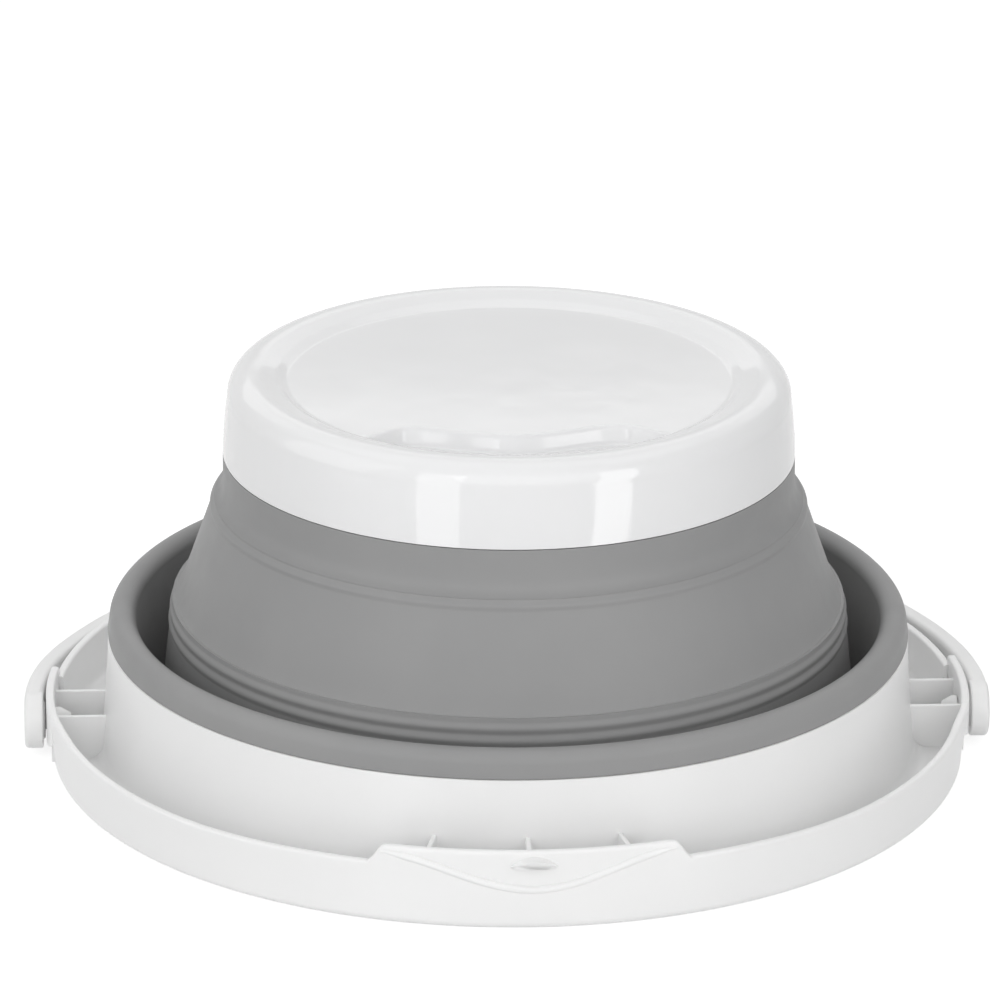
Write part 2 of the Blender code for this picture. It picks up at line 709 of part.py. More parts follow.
def grip_outline(grow):
    """Plan of the finger grip: an arc along the foot ring and a wavy edge between its ends."""
    radius = PANEL_RADIUS - GRIP_MARGIN
    swing = math.degrees(math.asin(GRIP_HALF_WIDTH / radius))
    corner = -math.sqrt(radius**2 - GRIP_HALF_WIDTH**2)
    front = arc(0.0, 0.0, radius + grow, 270 - swing, 270 + swing, GRIP_STEPS)
    back = []
    for i in range(GRIP_STEPS, -GRIP_STEPS - 1, -1):
        x = GRIP_HALF_WIDTH * i / GRIP_STEPS
        inward = abs(x) / GRIP_BUMP
        outward = (abs(x) - GRIP_BUMP) / (GRIP_HALF_WIDTH - GRIP_BUMP)
        wave = smooth_step(inward) if inward <= 1.0 else 1.0 - smooth_step(outward)
        spread = 1.0 + grow / GRIP_HALF_WIDTH
        back.append((x * spread, corner + GRIP_WAVE * wave + grow))
    return front + back


def build_base(pieces, cutters):
    """Base: turned pan with a finger grip pressed into its panel at the front."""
    base = turned("base_pan", base_outline(), pieces, closed=False)
    floor = PANEL_HEIGHT - GRIP_DEPTH
    shell_top = PANEL_HEIGHT - MOULD_GAP
    shell_low = floor - GRIP_WALL
    shell = plate("grip_shell", grip_outline(GRIP_WALL), shell_top - shell_low, cutters, GRIP_ROUND)
    shell.location.z = (shell_top + shell_low) / 2
    combine(base, bake(shell), "UNION")
    sky = PANEL_HEIGHT + GRIP_DEPTH
    hollow = plate("grip_hollow", grip_outline(0.0), sky - floor, cutters, GRIP_ROUND)
    hollow.location.z = (sky + floor) / 2
    combine(base, bake(hollow), "DIFFERENCE")
    return finish_piece(base, "base_white")


def bail_outline():
    """Plan of the bail: half an ellipse outside and half an ellipse inside."""
    points = []
    for i in range(BAIL_POINTS + 1):
        angle = math.pi * i / BAIL_POINTS
        points.append((ARM_OUTER * math.cos(angle), BAIL_OUTER_REACH * math.sin(angle)))
    for i in range(BAIL_POINTS, -1, -1):
        angle = math.pi * i / BAIL_POINTS
        points.append((ARM_INNER * math.cos(angle), BAIL_INNER_REACH * math.sin(angle)))
    return points


def arm_end(collection):
    """Round arm end with its boss and snap pin, turned about the pivot's axis."""
    barb_face = EAR_RADIUS - EAR_WALL - MOULD_GAP
    boss_face = EAR_RADIUS + MOULD_GAP
    soft = ARM_EDGE_ROUND
    outline = [
        (ARM_OUTER, 0.0),
        *arc(ARM_OUTER - soft, ARM_END_RADIUS - soft, soft, 0, 90, 3),
        *arc(ARM_INNER + soft / 2, ARM_END_RADIUS - soft / 2, soft / 2, 90, 180, 2),
        (ARM_INNER, BOSS_RADIUS),
        (boss_face, BOSS_RADIUS),
        (boss_face, PIN_RADIUS),
        (barb_face, PIN_RADIUS),
        (barb_face, BARB_RADIUS),
        (barb_face - BARB_RIM, BARB_RADIUS),
        (barb_face - BARB_LENGTH, BARB_TIP_RADIUS),
        (barb_face - BARB_LENGTH, 0.0),
    ]
    mesh = bpy.data.meshes.new("arm_end")
    vertices = [(along, 0.0, radius) for along, radius in outline]
    mesh.from_pydata(vertices, [(i, i + 1) for i in range(len(outline) - 1)], [])
    end = new_object("arm_end", mesh, collection)
    screw = end.modifiers.new("turn", "SCREW")
    screw.axis = "X"
    screw.angle = math.tau
    screw.steps = PIVOT_STEPS
    screw.render_steps = PIVOT_STEPS
    screw.use_merge_vertices = True
    screw.merge_threshold = 0.00001
    slot_middle = barb_face - BARB_LENGTH
    bpy.ops.mesh.primitive_cube_add(size=1.0, location=(slot_middle, 0.0, 0.0))
    slot = move_to(bpy.context.object, collection)
    slot.name = "snap_slot"
    slot.scale = (2 * SNAP_SLOT_DEPTH, 4 * BARB_RADIUS, SNAP_SLOT)
    end = bake(end)
    combine(end, bake(slot), "DIFFERENCE")
    return mirror(bake(end), across_x=True)


def flare_arms(item):
    """Let the bail grow in height along its arms until it meets their round ends."""
    growth = 2 * ARM_END_RADIUS / BAIL_HEIGHT - 1.0
    for vertex in item.data.vertices:
        vertex.co.z *= 1.0 + growth * (1.0 - smooth_step(vertex.co.y / ARM_FLARE_LENGTH))
    return item


def build_handle(pieces, cutters):
    """Bail handle, laid back on its pivots just above the table."""
    bail = plate("bail_handle", bail_outline(), BAIL_HEIGHT, pieces, edge_round=BAIL_EDGE_ROUND)
    bail = flare_arms(bake(bail))
    combine(bail, arm_end(cutters), "UNION")
    bail = finish_piece(bail, "handle_white")
    bail.location = (0.0, 0.0, PIVOT_HEIGHT)
    bail.rotation_euler = (-BAIL_TILT, 0.0, 0.0)
    return bail


def main():
    """Build the washbasin."""
    clear_scene()
    pieces = make_collection("collapsible_washbasin")
    cutters = make_collection("cutters")
    build_rim(pieces, cutters)
    build_outer_band(pieces)
    build_outer_web(pieces)
    build_middle_ring(pieces)
    build_inner_web(pieces)
    build_cuff(pieces)
    build_base(pieces, cutters)
    build_handle(pieces, cutters)
    bpy.context.view_layer.update()


if __name__ == "__main__":
    main()
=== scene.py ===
"""Dressed model of a collapsible washbasin that stands upside down on its rim, half folded.

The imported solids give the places. This script adds the moulded detail, the finishes, a plain
studio and the camera. Lengths are in metres, +Z is up, the origin lies on the basin's axis in
the plane of the rim face, and the tab seen at the front looks along -Y.
"""

import logging
import math
from collections.abc import Callable
from dataclasses import dataclass, field
from enum import Enum

import bmesh
import bpy
from bmesh.types import BMesh, BMVert
from mathutils import Matrix, Vector


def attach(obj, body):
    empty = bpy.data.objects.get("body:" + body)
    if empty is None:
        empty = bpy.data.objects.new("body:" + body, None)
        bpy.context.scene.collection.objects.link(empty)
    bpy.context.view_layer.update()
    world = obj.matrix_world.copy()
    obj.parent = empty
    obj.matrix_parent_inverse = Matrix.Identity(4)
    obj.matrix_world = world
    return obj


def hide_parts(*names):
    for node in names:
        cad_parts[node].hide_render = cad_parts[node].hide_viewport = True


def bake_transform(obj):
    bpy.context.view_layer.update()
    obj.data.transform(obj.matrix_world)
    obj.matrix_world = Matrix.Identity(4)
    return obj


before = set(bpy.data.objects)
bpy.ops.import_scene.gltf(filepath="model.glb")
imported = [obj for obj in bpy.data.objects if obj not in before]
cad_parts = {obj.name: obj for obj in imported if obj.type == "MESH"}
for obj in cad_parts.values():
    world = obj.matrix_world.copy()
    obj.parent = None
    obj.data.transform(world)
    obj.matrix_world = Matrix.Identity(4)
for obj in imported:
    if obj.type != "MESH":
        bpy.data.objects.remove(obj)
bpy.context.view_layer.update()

log = logging.getLogger("washbasin")

Colour = tuple[float, float, float, float]
Reshape = Callable[[Vector], Vector]

FULL_CIRCLE = 360.0
WELD = 0.000002
WHITE = (1.0, 1.0, 1.0, 1.0)


class Axis(Enum):
    """Axes that a shape is turned about or mirrored along."""

    X = "X"
    Y = "Y"
    Z = "Z"


class Body(Enum):
    """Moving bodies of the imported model."""

    RIM = "rim"
    MIDDLE = "middle"
    BASE = "base"
    HANDLE = "handle"


def ease(t: float) -> float:
    """Ease from 0 to 1 with level ends.

    Args:
        t: Position between the ends; values outside 0 to 1 are held.

    Returns:
        The eased position.
    """
    t = min(max(t, 0.0), 1.0)
    return t * t * (3.0 - 2.0 * t)


@dataclass
class Section:
    """Outline in the plane of radius and height, drawn point by point and then turned."""

    points: list[tuple[float, float]] = field(default_factory=list)

    def to(self, radius: float, height: float, rows: int = 1) -> "Section":
        """Draw a straight line from the last point.

        Args:
            radius: Radius of the line's end.
            height: Height of the line's end.
            rows: Number of equal parts that the line is split into.

        Returns:
            The section itself, so that calls can follow each other.
        """
        if self.points:
            from_radius, from_height = self.points[-1]
        else:
            from_radius, from_height, rows = radius, height, 1
        for i in range(1, rows + 1):
            share = i / rows
            step_radius = from_radius + (radius - from_radius) * share
            step_height = from_height + (height - from_height) * share
            self.points.append((step_radius, step_height))
        return self

    def through(self, *corners: tuple[float, float]) -> "Section":
        """Draw straight lines from corner to corner, each given by radius and height."""
        self.points.extend(corners)
        return self

    def bend(
        self, radius: float, height: float, size: float, start: float, end: float, steps: int
    ) -> "Section":
        """Draw an arc.

        Args:
            radius: Radius of the arc's centre.
            height: Height of the arc's centre.
            size: Radius of the arc itself.
            start: Angle of its first point in degrees; 0 points outwards and 90 up.
            end: Angle of its last point in degrees.
            steps: Number of chords.

        Returns:
            The section itself.
        """
        for i in range(steps + 1):
            angle = math.radians(start + (end - start) * i / steps)
            self.points.append((radius + size * math.cos(angle), height + size * math.sin(angle)))
        return self

    def follow(self, path: Callable[[float], tuple[float, float]], rows: int) -> "Section":
        """Draw a free curve.

        Args:
            path: Gives the point (radius, height) at a share from 0 to 1 of the curve.
            rows: Number of chords.

        Returns:
            The section itself.
        """
        self.points.extend(path(i / rows) for i in range(rows + 1))
        return self


def weld_and_face_out(shape: BMesh) -> BMesh:
    """Merge doubled vertices and turn every face outwards.

    Args:
        shape: Mesh to clean.

    Returns:
        The same mesh.
    """
    bmesh.ops.remove_doubles(shape, verts=shape.verts, dist=WELD)
    bmesh.ops.dissolve_degenerate(shape, dist=WELD / 4, edges=shape.edges)
    bmesh.ops.recalc_face_normals(shape, faces=shape.faces)
    return shape


def turned(
    section: Section, zones: list[tuple[float, int]], start: float = 0.0, closed: bool = True
) -> BMesh:
    """Turn a section about Z.

    Args:
        section: Outline to turn.
        zones: Angles in degrees to sweep one after the other, each with its number of steps.
        start: Angle in degrees where the first zone begins.
        closed: Whether the outline's last point joins its first.

    Returns:
        The swept mesh; a full turn is closed on itself.
    """
    shape = bmesh.new()
    corners = [shape.verts.new((radius, 0.0, height)) for radius, height in section.points]
    edges = [shape.edges.new(pair) for pair in zip(corners, corners[1:])]
    if closed:
        edges.append(shape.edges.new((corners[-1], corners[0])))
    rotate(shape, start, Axis.Z)
    whole = len(zones) == 1 and zones[0][0] == FULL_CIRCLE
    geom = [*corners, *edges]
    for angle, steps in zones:
        swept = bmesh.ops.spin(
            shape,
            geom=geom,
            cent=(0, 0, 0),
            axis=(0, 0, 1),
            angle=math.radians(angle),
            steps=steps,
            use_merge=whole,
            use_duplicate=False,
        )
        geom = swept["geom_last"]
    return weld_and_face_out(shape)


def plate(outline: list[tuple[float, float]], thickness: float, soft: float, steps: int) -> BMesh:
    """Flat plate in the XY plane that stands on Z = 0, with rounded edges.

    Args:
        outline: Corners of the plate, in order.
        thickness: Thickness along Z.
        soft: Width of the rounding along both faces.
        steps: Segments of the rounding.

    Returns:
        The closed plate.
    """
    shape = bmesh.new()
    face = shape.faces.new([shape.verts.new((x, y, 0.0)) for x, y in outline])
    raised = bmesh.ops.extrude_face_region(shape, geom=[face])
    top = [part for part in raised["geom"] if isinstance(part, BMVert)]
    bmesh.ops.translate(shape, vec=(0.0, 0.0, thickness), verts=top)
    bmesh.ops.recalc_face_normals(shape, faces=shape.faces)
    rims = [e for e in shape.edges if abs(e.verts[0].co.z - e.verts[1].co.z) < WELD]
    round_edges(shape, rims, soft, steps)
    return shape


def round_edges(shape: BMesh, edges: list, size: float, steps: int) -> BMesh:
    """Round edges over.

    Args:
        shape: Mesh that holds the edges.
        edges: Edges to round.
        size: Width of the rounding on each side.
        steps: Segments of the rounding.

    Returns:
        The same mesh.
    """
    bmesh.ops.bevel(
        shape,
        geom=edges,
        offset=size,
        offset_type="OFFSET",
        segments=steps,
        profile=0.5,
        affect="EDGES",
        clamp_overlap=True,
        material=-1,
    )
    return shape


def slice_along_x(shape: BMesh, low: float, high: float, count: int) -> BMesh:
    """Cut a mesh into strips across X, so that it can be bent.

    Args:
        shape: Mesh to cut.
        low: Lowest X of the cuts.
        high: Highest X of the cuts.
        count: Number of strips between the two.

    Returns:
        The same mesh.
    """
    for i in range(count + 1):
        bmesh.ops.bisect_plane(
            shape,
            geom=everything(shape),
            dist=WELD,
            plane_co=(low + (high - low) * i / count, 0.0, 0.0),
            plane_no=(1.0, 0.0, 0.0),
        )
    return shape


def reshape(shape: BMesh, move: Reshape) -> BMesh:
    """Move every vertex of a mesh.

    Args:
        shape: Mesh to change.
        move: Gives the new place of a vertex from its old one.

    Returns:
        The same mesh.
    """
    for vertex in shape.verts:
        vertex.co = move(vertex.co)
    return shape


def wrap(shape: BMesh, radius: float, middle: float) -> BMesh:
    """Wrap a flat shape round the basin: X runs along the wall, Y becomes height, Z goes out.

    Args:
        shape: Mesh to wrap.
        radius: Radius that Z = 0 is wrapped onto.
        middle: Angle in degrees of X = 0.

    Returns:
        The same mesh.
    """

    def onto_wall(point: Vector) -> Vector:
        """Wrap one vertex.

        Args:
            point: Vertex of the flat shape.

        Returns:
            Its place on the wall.
        """
        angle = math.radians(middle) + point.x / radius
        reach = radius + point.z
        return Vector((reach * math.cos(angle), reach * math.sin(angle), point.y))

    return weld_and_face_out(reshape(shape, onto_wall))


def everything(shape: BMesh) -> list:
    """List all vertices, edges and faces of a mesh."""
    return [*shape.verts, *shape.edges, *shape.faces]


def shift(shape: BMesh, y: float = 0.0, z: float = 0.0) -> BMesh:
    """Move a whole mesh, and give it back."""
    bmesh.ops.translate(shape, vec=(0.0, y, z), verts=shape.verts)
    return shape


def rotate(shape: BMesh, angle: float, axis: Axis) -> BMesh:
    """Turn a whole mesh about an axis through the origin.

    Args:
        shape: Mesh to turn.
        angle: Angle in degrees.
        axis: Axis to turn about.

    Returns:
        The same mesh.
    """
    turn = Matrix.Rotation(math.radians(angle), 3, axis.value)
    bmesh.ops.rotate(shape, verts=shape.verts, cent=(0, 0, 0), matrix=turn)
    return shape


def rod(radius: float, length: float, sides: int) -> BMesh:
    """Make a round rod along X, centred on the origin.

    Args:
        radius: Radius of the rod.
        length: Its length.
        sides: Number of flat sides that make it round.

    Returns:
        The closed rod.
    """
    shape = bmesh.new()
    bmesh.ops.create_cone(
        shape, cap_ends=True, segments=sides, radius1=radius, radius2=radius, depth=length
    )
    return rotate(shape, 90.0, Axis.Y)


def mirrored(shape: BMesh, *axes: Axis) -> BMesh:
    """Repeat a shape on the other side of the basin's middle planes.

    Args:
        shape: Mesh to repeat.
        axes: Axes across which it is repeated, one after the other.

    Returns:
        The same mesh.
    """
    for axis in axes:
        bmesh.ops.mirror(
            shape,
            geom=everything(shape),
            matrix=Matrix.Identity(4),
            merge_dist=WELD,
            axis=axis.value,
        )
    return weld_and_face_out(shape)


def as_mesh(name: str, shape: BMesh) -> bpy.types.Mesh:
    """Keep a mesh under a name, and free the one that was worked on.

    Args:
        name: Name of the kept mesh.
        shape: Mesh that was worked on.

    Returns:
        The kept mesh.
    """
    data = bpy.data.meshes.new(name)
    shape.to_mesh(data)
    shape.free()
    return data


def placed(name: str, data: bpy.types.ID) -> bpy.types.Object:
    """Put a mesh, a lamp or a camera in the scene.

    Args:
        name: Name of the object.
        data: What the object shows.

    Returns:
        The object, at the origin.
    """
    item = bpy.data.objects.new(name, data)
    bpy.context.scene.collection.objects.link(item)
    return item


def gathered(*shapes: BMesh) -> BMesh:
    """Join several meshes in one, and free them.

    Args:
        shapes: Meshes to join.

    Returns:
        The joined mesh.
    """
    whole = bmesh.new()
    for shape in shapes:
        part = as_mesh("part", shape)
        whole.from_mesh(part)
        bpy.data.meshes.remove(part)
    return whole


def towards(azimuth: float, elevation: float) -> Vector:
    """Direction from the basin to a place in the studio.

    Args:
        azimuth: Angle in degrees round the basin, from the front tab to the right.
        elevation: Angle in degrees above the floor.

    Returns:
        The direction, of length 1.
    """
    turn = math.radians(azimuth)
    rise = math.radians(elevation)
    level = math.cos(rise)
    return Vector((math.sin(turn) * level, -math.cos(turn) * level, math.sin(rise)))


@dataclass
class Wiring:
    """Node tree that is drawn node by node."""

    tree: bpy.types.NodeTree

    def feed(self, node: bpy.types.Node, inputs: dict[str | int, object]) -> None:
        """Set or link the inputs of a node.

        Args:
            node: Node to feed.
            inputs: For each input's name or number, a constant or the socket that feeds it.
        """
        for name, source in inputs.items():
            if isinstance(source, bpy.types.NodeSocket):
                self.tree.links.new(source, node.inputs[name])
            else:
                node.inputs[name].default_value = source

    def add(self, kind: str, inputs: dict[str | int, object] | None = None) -> bpy.types.Node:
        """Add a node.

        Args:
            kind: Type of the node.
            inputs: For each input's name or number, a constant or the socket that feeds it.

        Returns:
            The node.
        """
        node = self.tree.nodes.new(kind)
        self.feed(node, inputs or {})
        return node

    def noise(
        self, place: bpy.types.NodeSocket, scale: float, detail: float, roughness: float
    ) -> bpy.types.NodeSocket:
        """Add a noise texture.

        Args:
            place: Socket with the coordinates.
            scale: Cells per metre.
            detail: Octaves.
            roughness: Weight of the finer octaves.

        Returns:
            The texture's value.
        """
        sizes = {"Scale": scale, "Detail": detail, "Roughness": roughness}
        return self.add("ShaderNodeTexNoise", {"Vector": place, **sizes}).outputs["Fac"]

    def largest(
        self, one: bpy.types.NodeSocket, other: bpy.types.NodeSocket
    ) -> bpy.types.NodeSocket:
        """Add a node that gives the larger of two values.

        Args:
            one: Socket with the first value.
            other: Socket with the second value.

        Returns:
            Socket with the larger value.
        """
        node = self.add("ShaderNodeMath", {0: one, 1: other})
        node.operation = "MAXIMUM"
        return node.outputs["Value"]


@dataclass(frozen=True)
class Surface:
    """Procedural finish of a moulded part, laid out on Object coordinates.

    The colour drifts between two tones in soft clouds, the gloss drifts the same way at a finer
    scale, and two layers of relief give the skin: slow waves from cooling and a fine grain.
    """

    name: str
    slot: str
    light_tone: Colour
    deep_tone: Colour
    cloud_scale: float
    gloss: tuple[float, float]
    gloss_scale: float
    wave_scale: float
    wave_height: float
    grain_scale: float
    grain_height: float
    level: float = 0.5
    cloud_ends: tuple[float, float] = (0.30, 0.68)
    smear_ends: tuple[float, float] = (0.3, 0.7)

    def material(self) -> bpy.types.Material:
        """Make the material, once.

        Returns:
            The node material of this finish.
        """
        ready = bpy.data.materials.get(self.name)
        if ready is not None:
            return ready
        material = bpy.data.materials.new(self.name)
        material.use_nodes = True
        wiring = Wiring(material.node_tree)
        place = wiring.add("ShaderNodeTexCoord").outputs["Object"]

        clouds = wiring.noise(place, self.cloud_scale, detail=4.0, roughness=0.55)
        tones = wiring.add("ShaderNodeValToRGB", {"Fac": clouds})
        colours = (self.deep_tone, self.light_tone)
        for stop, position, colour in zip(tones.color_ramp.elements, self.cloud_ends, colours):
            stop.position = position
            stop.color = colour

        smears = wiring.noise(place, self.gloss_scale, detail=5.0, roughness=0.6)
        gloss = wiring.add(
            "ShaderNodeMapRange",
            {
                "Value": smears,
                "From Min": self.smear_ends[0],
                "From Max": self.smear_ends[1],
                "To Min": self.gloss[0],
                "To Max": self.gloss[1],
            },
        )

        waves = wiring.noise(place, self.wave_scale, detail=2.0, roughness=0.4)
        relief = {"Strength": 1.0, "Distance": self.wave_height, "Height": waves}
        skin = wiring.add("ShaderNodeBump", relief)
        grain = wiring.noise(place, self.grain_scale, detail=3.0, roughness=0.6)
        relief = {"Strength": 1.0, "Distance": self.grain_height, "Height": grain}
        skin = wiring.add("ShaderNodeBump", {**relief, "Normal": skin.outputs["Normal"]})

        wiring.feed(
            material.node_tree.nodes["Principled BSDF"],
            {
                "Base Color": tones.outputs["Color"],
                "Roughness": gloss.outputs["Result"],
                "Normal": skin.outputs["Normal"],
                "Metallic": 0.0,
                "Specular IOR Level": self.level,
            },
        )
        material.diffuse_color = self.light_tone
        return material


RIM_PLASTIC = Surface(
    name="satin_white_plastic",
    slot="rim_white",
    light_tone=(0.890, 0.890, 0.888, 1.0),
    deep_tone=(0.868, 0.869, 0.868, 1.0),
    cloud_scale=14.0,
    gloss=(0.30, 0.36),
    gloss_scale=60.0,
    wave_scale=60.0,
    wave_height=0.00004,
    grain_scale=1400.0,
    grain_height=0.000006,
)

BASE_PLASTIC = Surface(
    name="polished_white_plastic",
    slot="base_white",
    light_tone=(0.850, 0.851, 0.855, 1.0),
    deep_tone=(0.832, 0.834, 0.840, 1.0),
    cloud_scale=12.0,
    gloss=(0.05, 0.09),
    gloss_scale=60.0,
    wave_scale=55.0,
    wave_height=0.00005,
    grain_scale=900.0,
    grain_height=0.000001,
    level=0.46,
)

HANDLE_PLASTIC = Surface(
    name="matt_white_plastic",
    slot="handle_white",
    light_tone=(0.878, 0.878, 0.874, 1.0),
    deep_tone=(0.852, 0.853, 0.851, 1.0),
    cloud_scale=18.0,
    gloss=(0.33, 0.42),
    gloss_scale=110.0,
    wave_scale=80.0,
    wave_height=0.00005,
    grain_scale=1500.0,
    grain_height=0.000007,
)

SOFT_PLASTIC = Surface(
    name="soft_grey_rubber",
    slot="soft_grey",
    light_tone=(0.322, 0.322, 0.322, 1.0),
    deep_tone=(0.296, 0.297, 0.298, 1.0),
    cloud_scale=16.0,
    gloss=(0.44, 0.54),
    gloss_scale=120.0,
    wave_scale=45.0,
    wave_height=0.00009,
    grain_scale=1700.0,
    grain_height=0.000008,
    level=0.16,
)


def piece(name: str, shape: BMesh, surface: Surface, sharp: float = 40.0) -> bpy.types.Object:
    """Make a finished object from a mesh, and free the mesh.

    Args:
        name: Name of the piece.
        shape: Its mesh, in place.
        surface: Its finish.
        sharp: Edges that turn by more than this many degrees stay sharp.

    Returns:
        The object, at the origin.
    """
    data = as_mesh(name, shape)
    data.materials.append(surface.material())
    data.shade_smooth()
    data.set_sharp_from_angle(angle=math.radians(sharp))
    item = placed(name, data)
    log.info("%s: %d faces", name, len(data.polygons))
    return item


@dataclass
class RimFrame:
    """Rigid rim: skirt, rim face, channel, neck, ears for the handle and two tabs."""

    skirt_radius: float = 0.1370
    skirt_foot: float = 0.1366
    skirt_height: float = 0.0176
    skirt_wall: float = 0.0025
    skirt_rise: float = 0.0011
    rise_start: float = 48.0
    edge: float = 0.0008
    rim_round: float = 0.0025
    rim_plate: float = 0.0023
    fillet: float = 0.0025
    neck_fillet: float = 0.0050
    neck_foot: float = 0.1226
    neck_top: float = 0.1197
    neck_curve: float = 1.5
    neck_height: float = 0.0387
    neck_wall: float = 0.0024
    neck_lip: float = 0.0003
    mouth_round: float = 0.0040
    tongue_height: float = 0.0031
    tongue_wall: float = 0.0009

    tab_height: float = 0.0240
    tab_angle: float = 17.6
    tab_step: float = 2.3
    tab_low: float = 0.0080
    recess: float = 0.0005
    recess_rise: float = 0.0012
    recess_end: float = 1.2
    bead_low: float = 0.0125
    bead_high: float = 0.0222
    bead_radius: float = 0.00110
    bead_proud: float = 0.0008
    bead_lean: float = 0.45
    bead_end: float = 0.3
    bead_fade: float = 3.0
    bead_thinning: float = 0.55
    gusset_angle: float = 12.7
    gusset_height: float = 0.0215
    gusset_wall: float = 0.0015
    web_soft: float = 0.0004
    lug_half: float = 0.0066
    lug_arch: float = 0.0027
    lug_top: float = 0.0222
    lug_bar: float = 0.0021
    lug_reach: float = 0.0032
    lug_tip: float = 0.0002
    lug_soft: float = 0.00015
    lug_sunk: float = 0.0003

    ear_radius: float = 0.1385
    ear_wall: float = 0.0025
    ear_half: float = 0.0197
    ear_height: float = 0.0200
    ear_sole: float = 0.0047
    ear_soft: float = 0.0007
    ear_corner: float = 0.0012
    pivot_height: float = 0.0104
    pivot_radius: float = 0.0031
    rib_spacing: float = 0.0204
    rib_wall: float = 0.0016
    rib_height: float = 0.0158
    ear_flow: float = 0.0130
    flow_steepness: float = 1.4
    flow_margin: float = 0.0002
    flow_inset: float = 0.00005
    flow_drop: float = 0.0001
    pocket_gap: float = 0.0010
    pocket_overlap: float = 0.0004
    seam_before: float = 0.02
    seam_after: float = 0.04

    def neck_outer(self, height: float) -> float:
        """Radius of the neck's outer side at a height."""
        left = max(1.0 - height / self.neck_height, 0.0)
        return self.neck_top + (self.neck_foot - self.neck_top) * left**self.neck_curve

    def neck_inner(self, height: float) -> float:
        """Radius of the neck's inner side at a height."""
        return self.neck_outer(height) - self.neck_wall

    def bead_line(self, angle: float) -> float:
        """Follow the bead that hangs across a tab.

        Args:
            angle: Angle in degrees from the tab's middle.

        Returns:
            The height of the bead there.
        """
        half = self.tab_angle + self.tab_step / 2
        swing = 0.5 * (1.0 - math.cos(math.pi * min(abs(angle) / half, 1.0)))
        return self.bead_low + (self.bead_high - self.bead_low) * swing

    def sole_line(self, along: float) -> float:
        """Follow the round sole of an ear.

        Args:
            along: Distance along the wall from the pivot.

        Returns:
            The height of the sole there.
        """
        depth = self.pivot_height - self.ear_sole
        size = (self.ear_half**2 + depth**2) / (2 * depth)
        return self.ear_sole + size - math.sqrt(max(size**2 - along**2, 0.0))

    def blank_section(self) -> Section:
        """Section of the turned blank.

        Returns:
            Closed outline from the skirt's upper edge over the rim face and the neck.
        """
        top = self.skirt_radius
        height = self.skirt_height
        edge = self.edge
        mouth = self.mouth_round
        tongue_top = self.neck_height + self.tongue_height
        foot_height = self.rim_plate + self.neck_fillet
        tongue_foot = self.neck_inner(self.neck_height) + self.tongue_wall
        section = Section()
        section.bend(top - self.skirt_wall + edge, height - edge, edge, 180, 90, 4)
        section.bend(top - edge, height - edge, edge, 90, 0, 4)
        section.to(self.skirt_foot, self.rim_round, rows=34)
        section.bend(self.skirt_foot - self.rim_round, self.rim_round, self.rim_round, 0, -90, 8)
        section.bend(self.neck_inner(mouth) + mouth, mouth, mouth, -90, -180, 10)
        rise = tongue_top - mouth
        section.follow(lambda t: (self.neck_inner(mouth + rise * t), mouth + rise * t), 8)
        section.to(self.neck_inner(tongue_top) + self.tongue_wall, tongue_top)
        section.to(tongue_foot, self.neck_height)
        section.to(self.neck_outer(self.neck_height) - self.neck_lip, self.neck_height)
        high = self.neck_height - self.neck_lip
        drop = high - foot_height
        section.follow(lambda t: (self.neck_outer(high - drop * t), high - drop * t), 14)
        foot = self.neck_fillet
        section.bend(self.neck_outer(foot_height) + foot, foot_height, foot, 188, 270, 12)
        inner_foot = self.skirt_foot - self.skirt_wall
        fillet_height = self.rim_plate + self.fillet
        section.bend(inner_foot - self.fillet, fillet_height, self.fillet, 270, 360, 6)
        section.to(top - self.skirt_wall, height - 2 * edge, rows=6)
        return section

    def shape_wall(self, point: Vector) -> Vector:
        """Raise the tab, sink the lens above its bead and clear the pocket behind the ear.

        Args:
            point: Vertex of the turned blank's first quarter.

        Returns:
            Its place in the finished rim.
        """
        radius = math.hypot(point.x, point.y)
        if radius < self.skirt_radius - self.skirt_wall - self.fillet:
            return point
        turn = math.degrees(math.atan2(point.y, point.x))
        height = point.z
        from_tab = 90.0 - turn
        share = ease((self.tab_angle + self.tab_step - from_tab) / self.tab_step)
        lift = max(height - self.tab_low, 0.0) / (self.skirt_height - self.tab_low)
        run = self.rise_start - self.tab_angle - self.tab_step
        edge_rise = self.skirt_rise * ease((self.rise_start - from_tab) / run)
        height += lift * (edge_rise + share * (self.tab_height - self.skirt_height - edge_rise))
        if share > 0.0:
            above = ease((height - self.bead_line(from_tab)) / self.recess_rise + 0.5)
            inside = ease((self.tab_angle - from_tab) / self.recess_end)
            radius -= self.recess * above * inside * share
        along = self.ear_radius * math.radians(turn)
        if along < self.ear_half - self.ear_wall and height > self.rim_plate:
            top = self.sole_line(along) + self.pocket_gap
            full = self.skirt_height - self.rim_plate
            height = self.rim_plate + (height - self.rim_plate) * (top - self.rim_plate) / full
            if radius < self.skirt_radius - self.skirt_wall / 2:
                radius = max(radius, self.ear_radius - self.ear_wall + self.pocket_overlap)
        angle = math.radians(turn)
        return Vector((radius * math.cos(angle), radius * math.sin(angle), height))

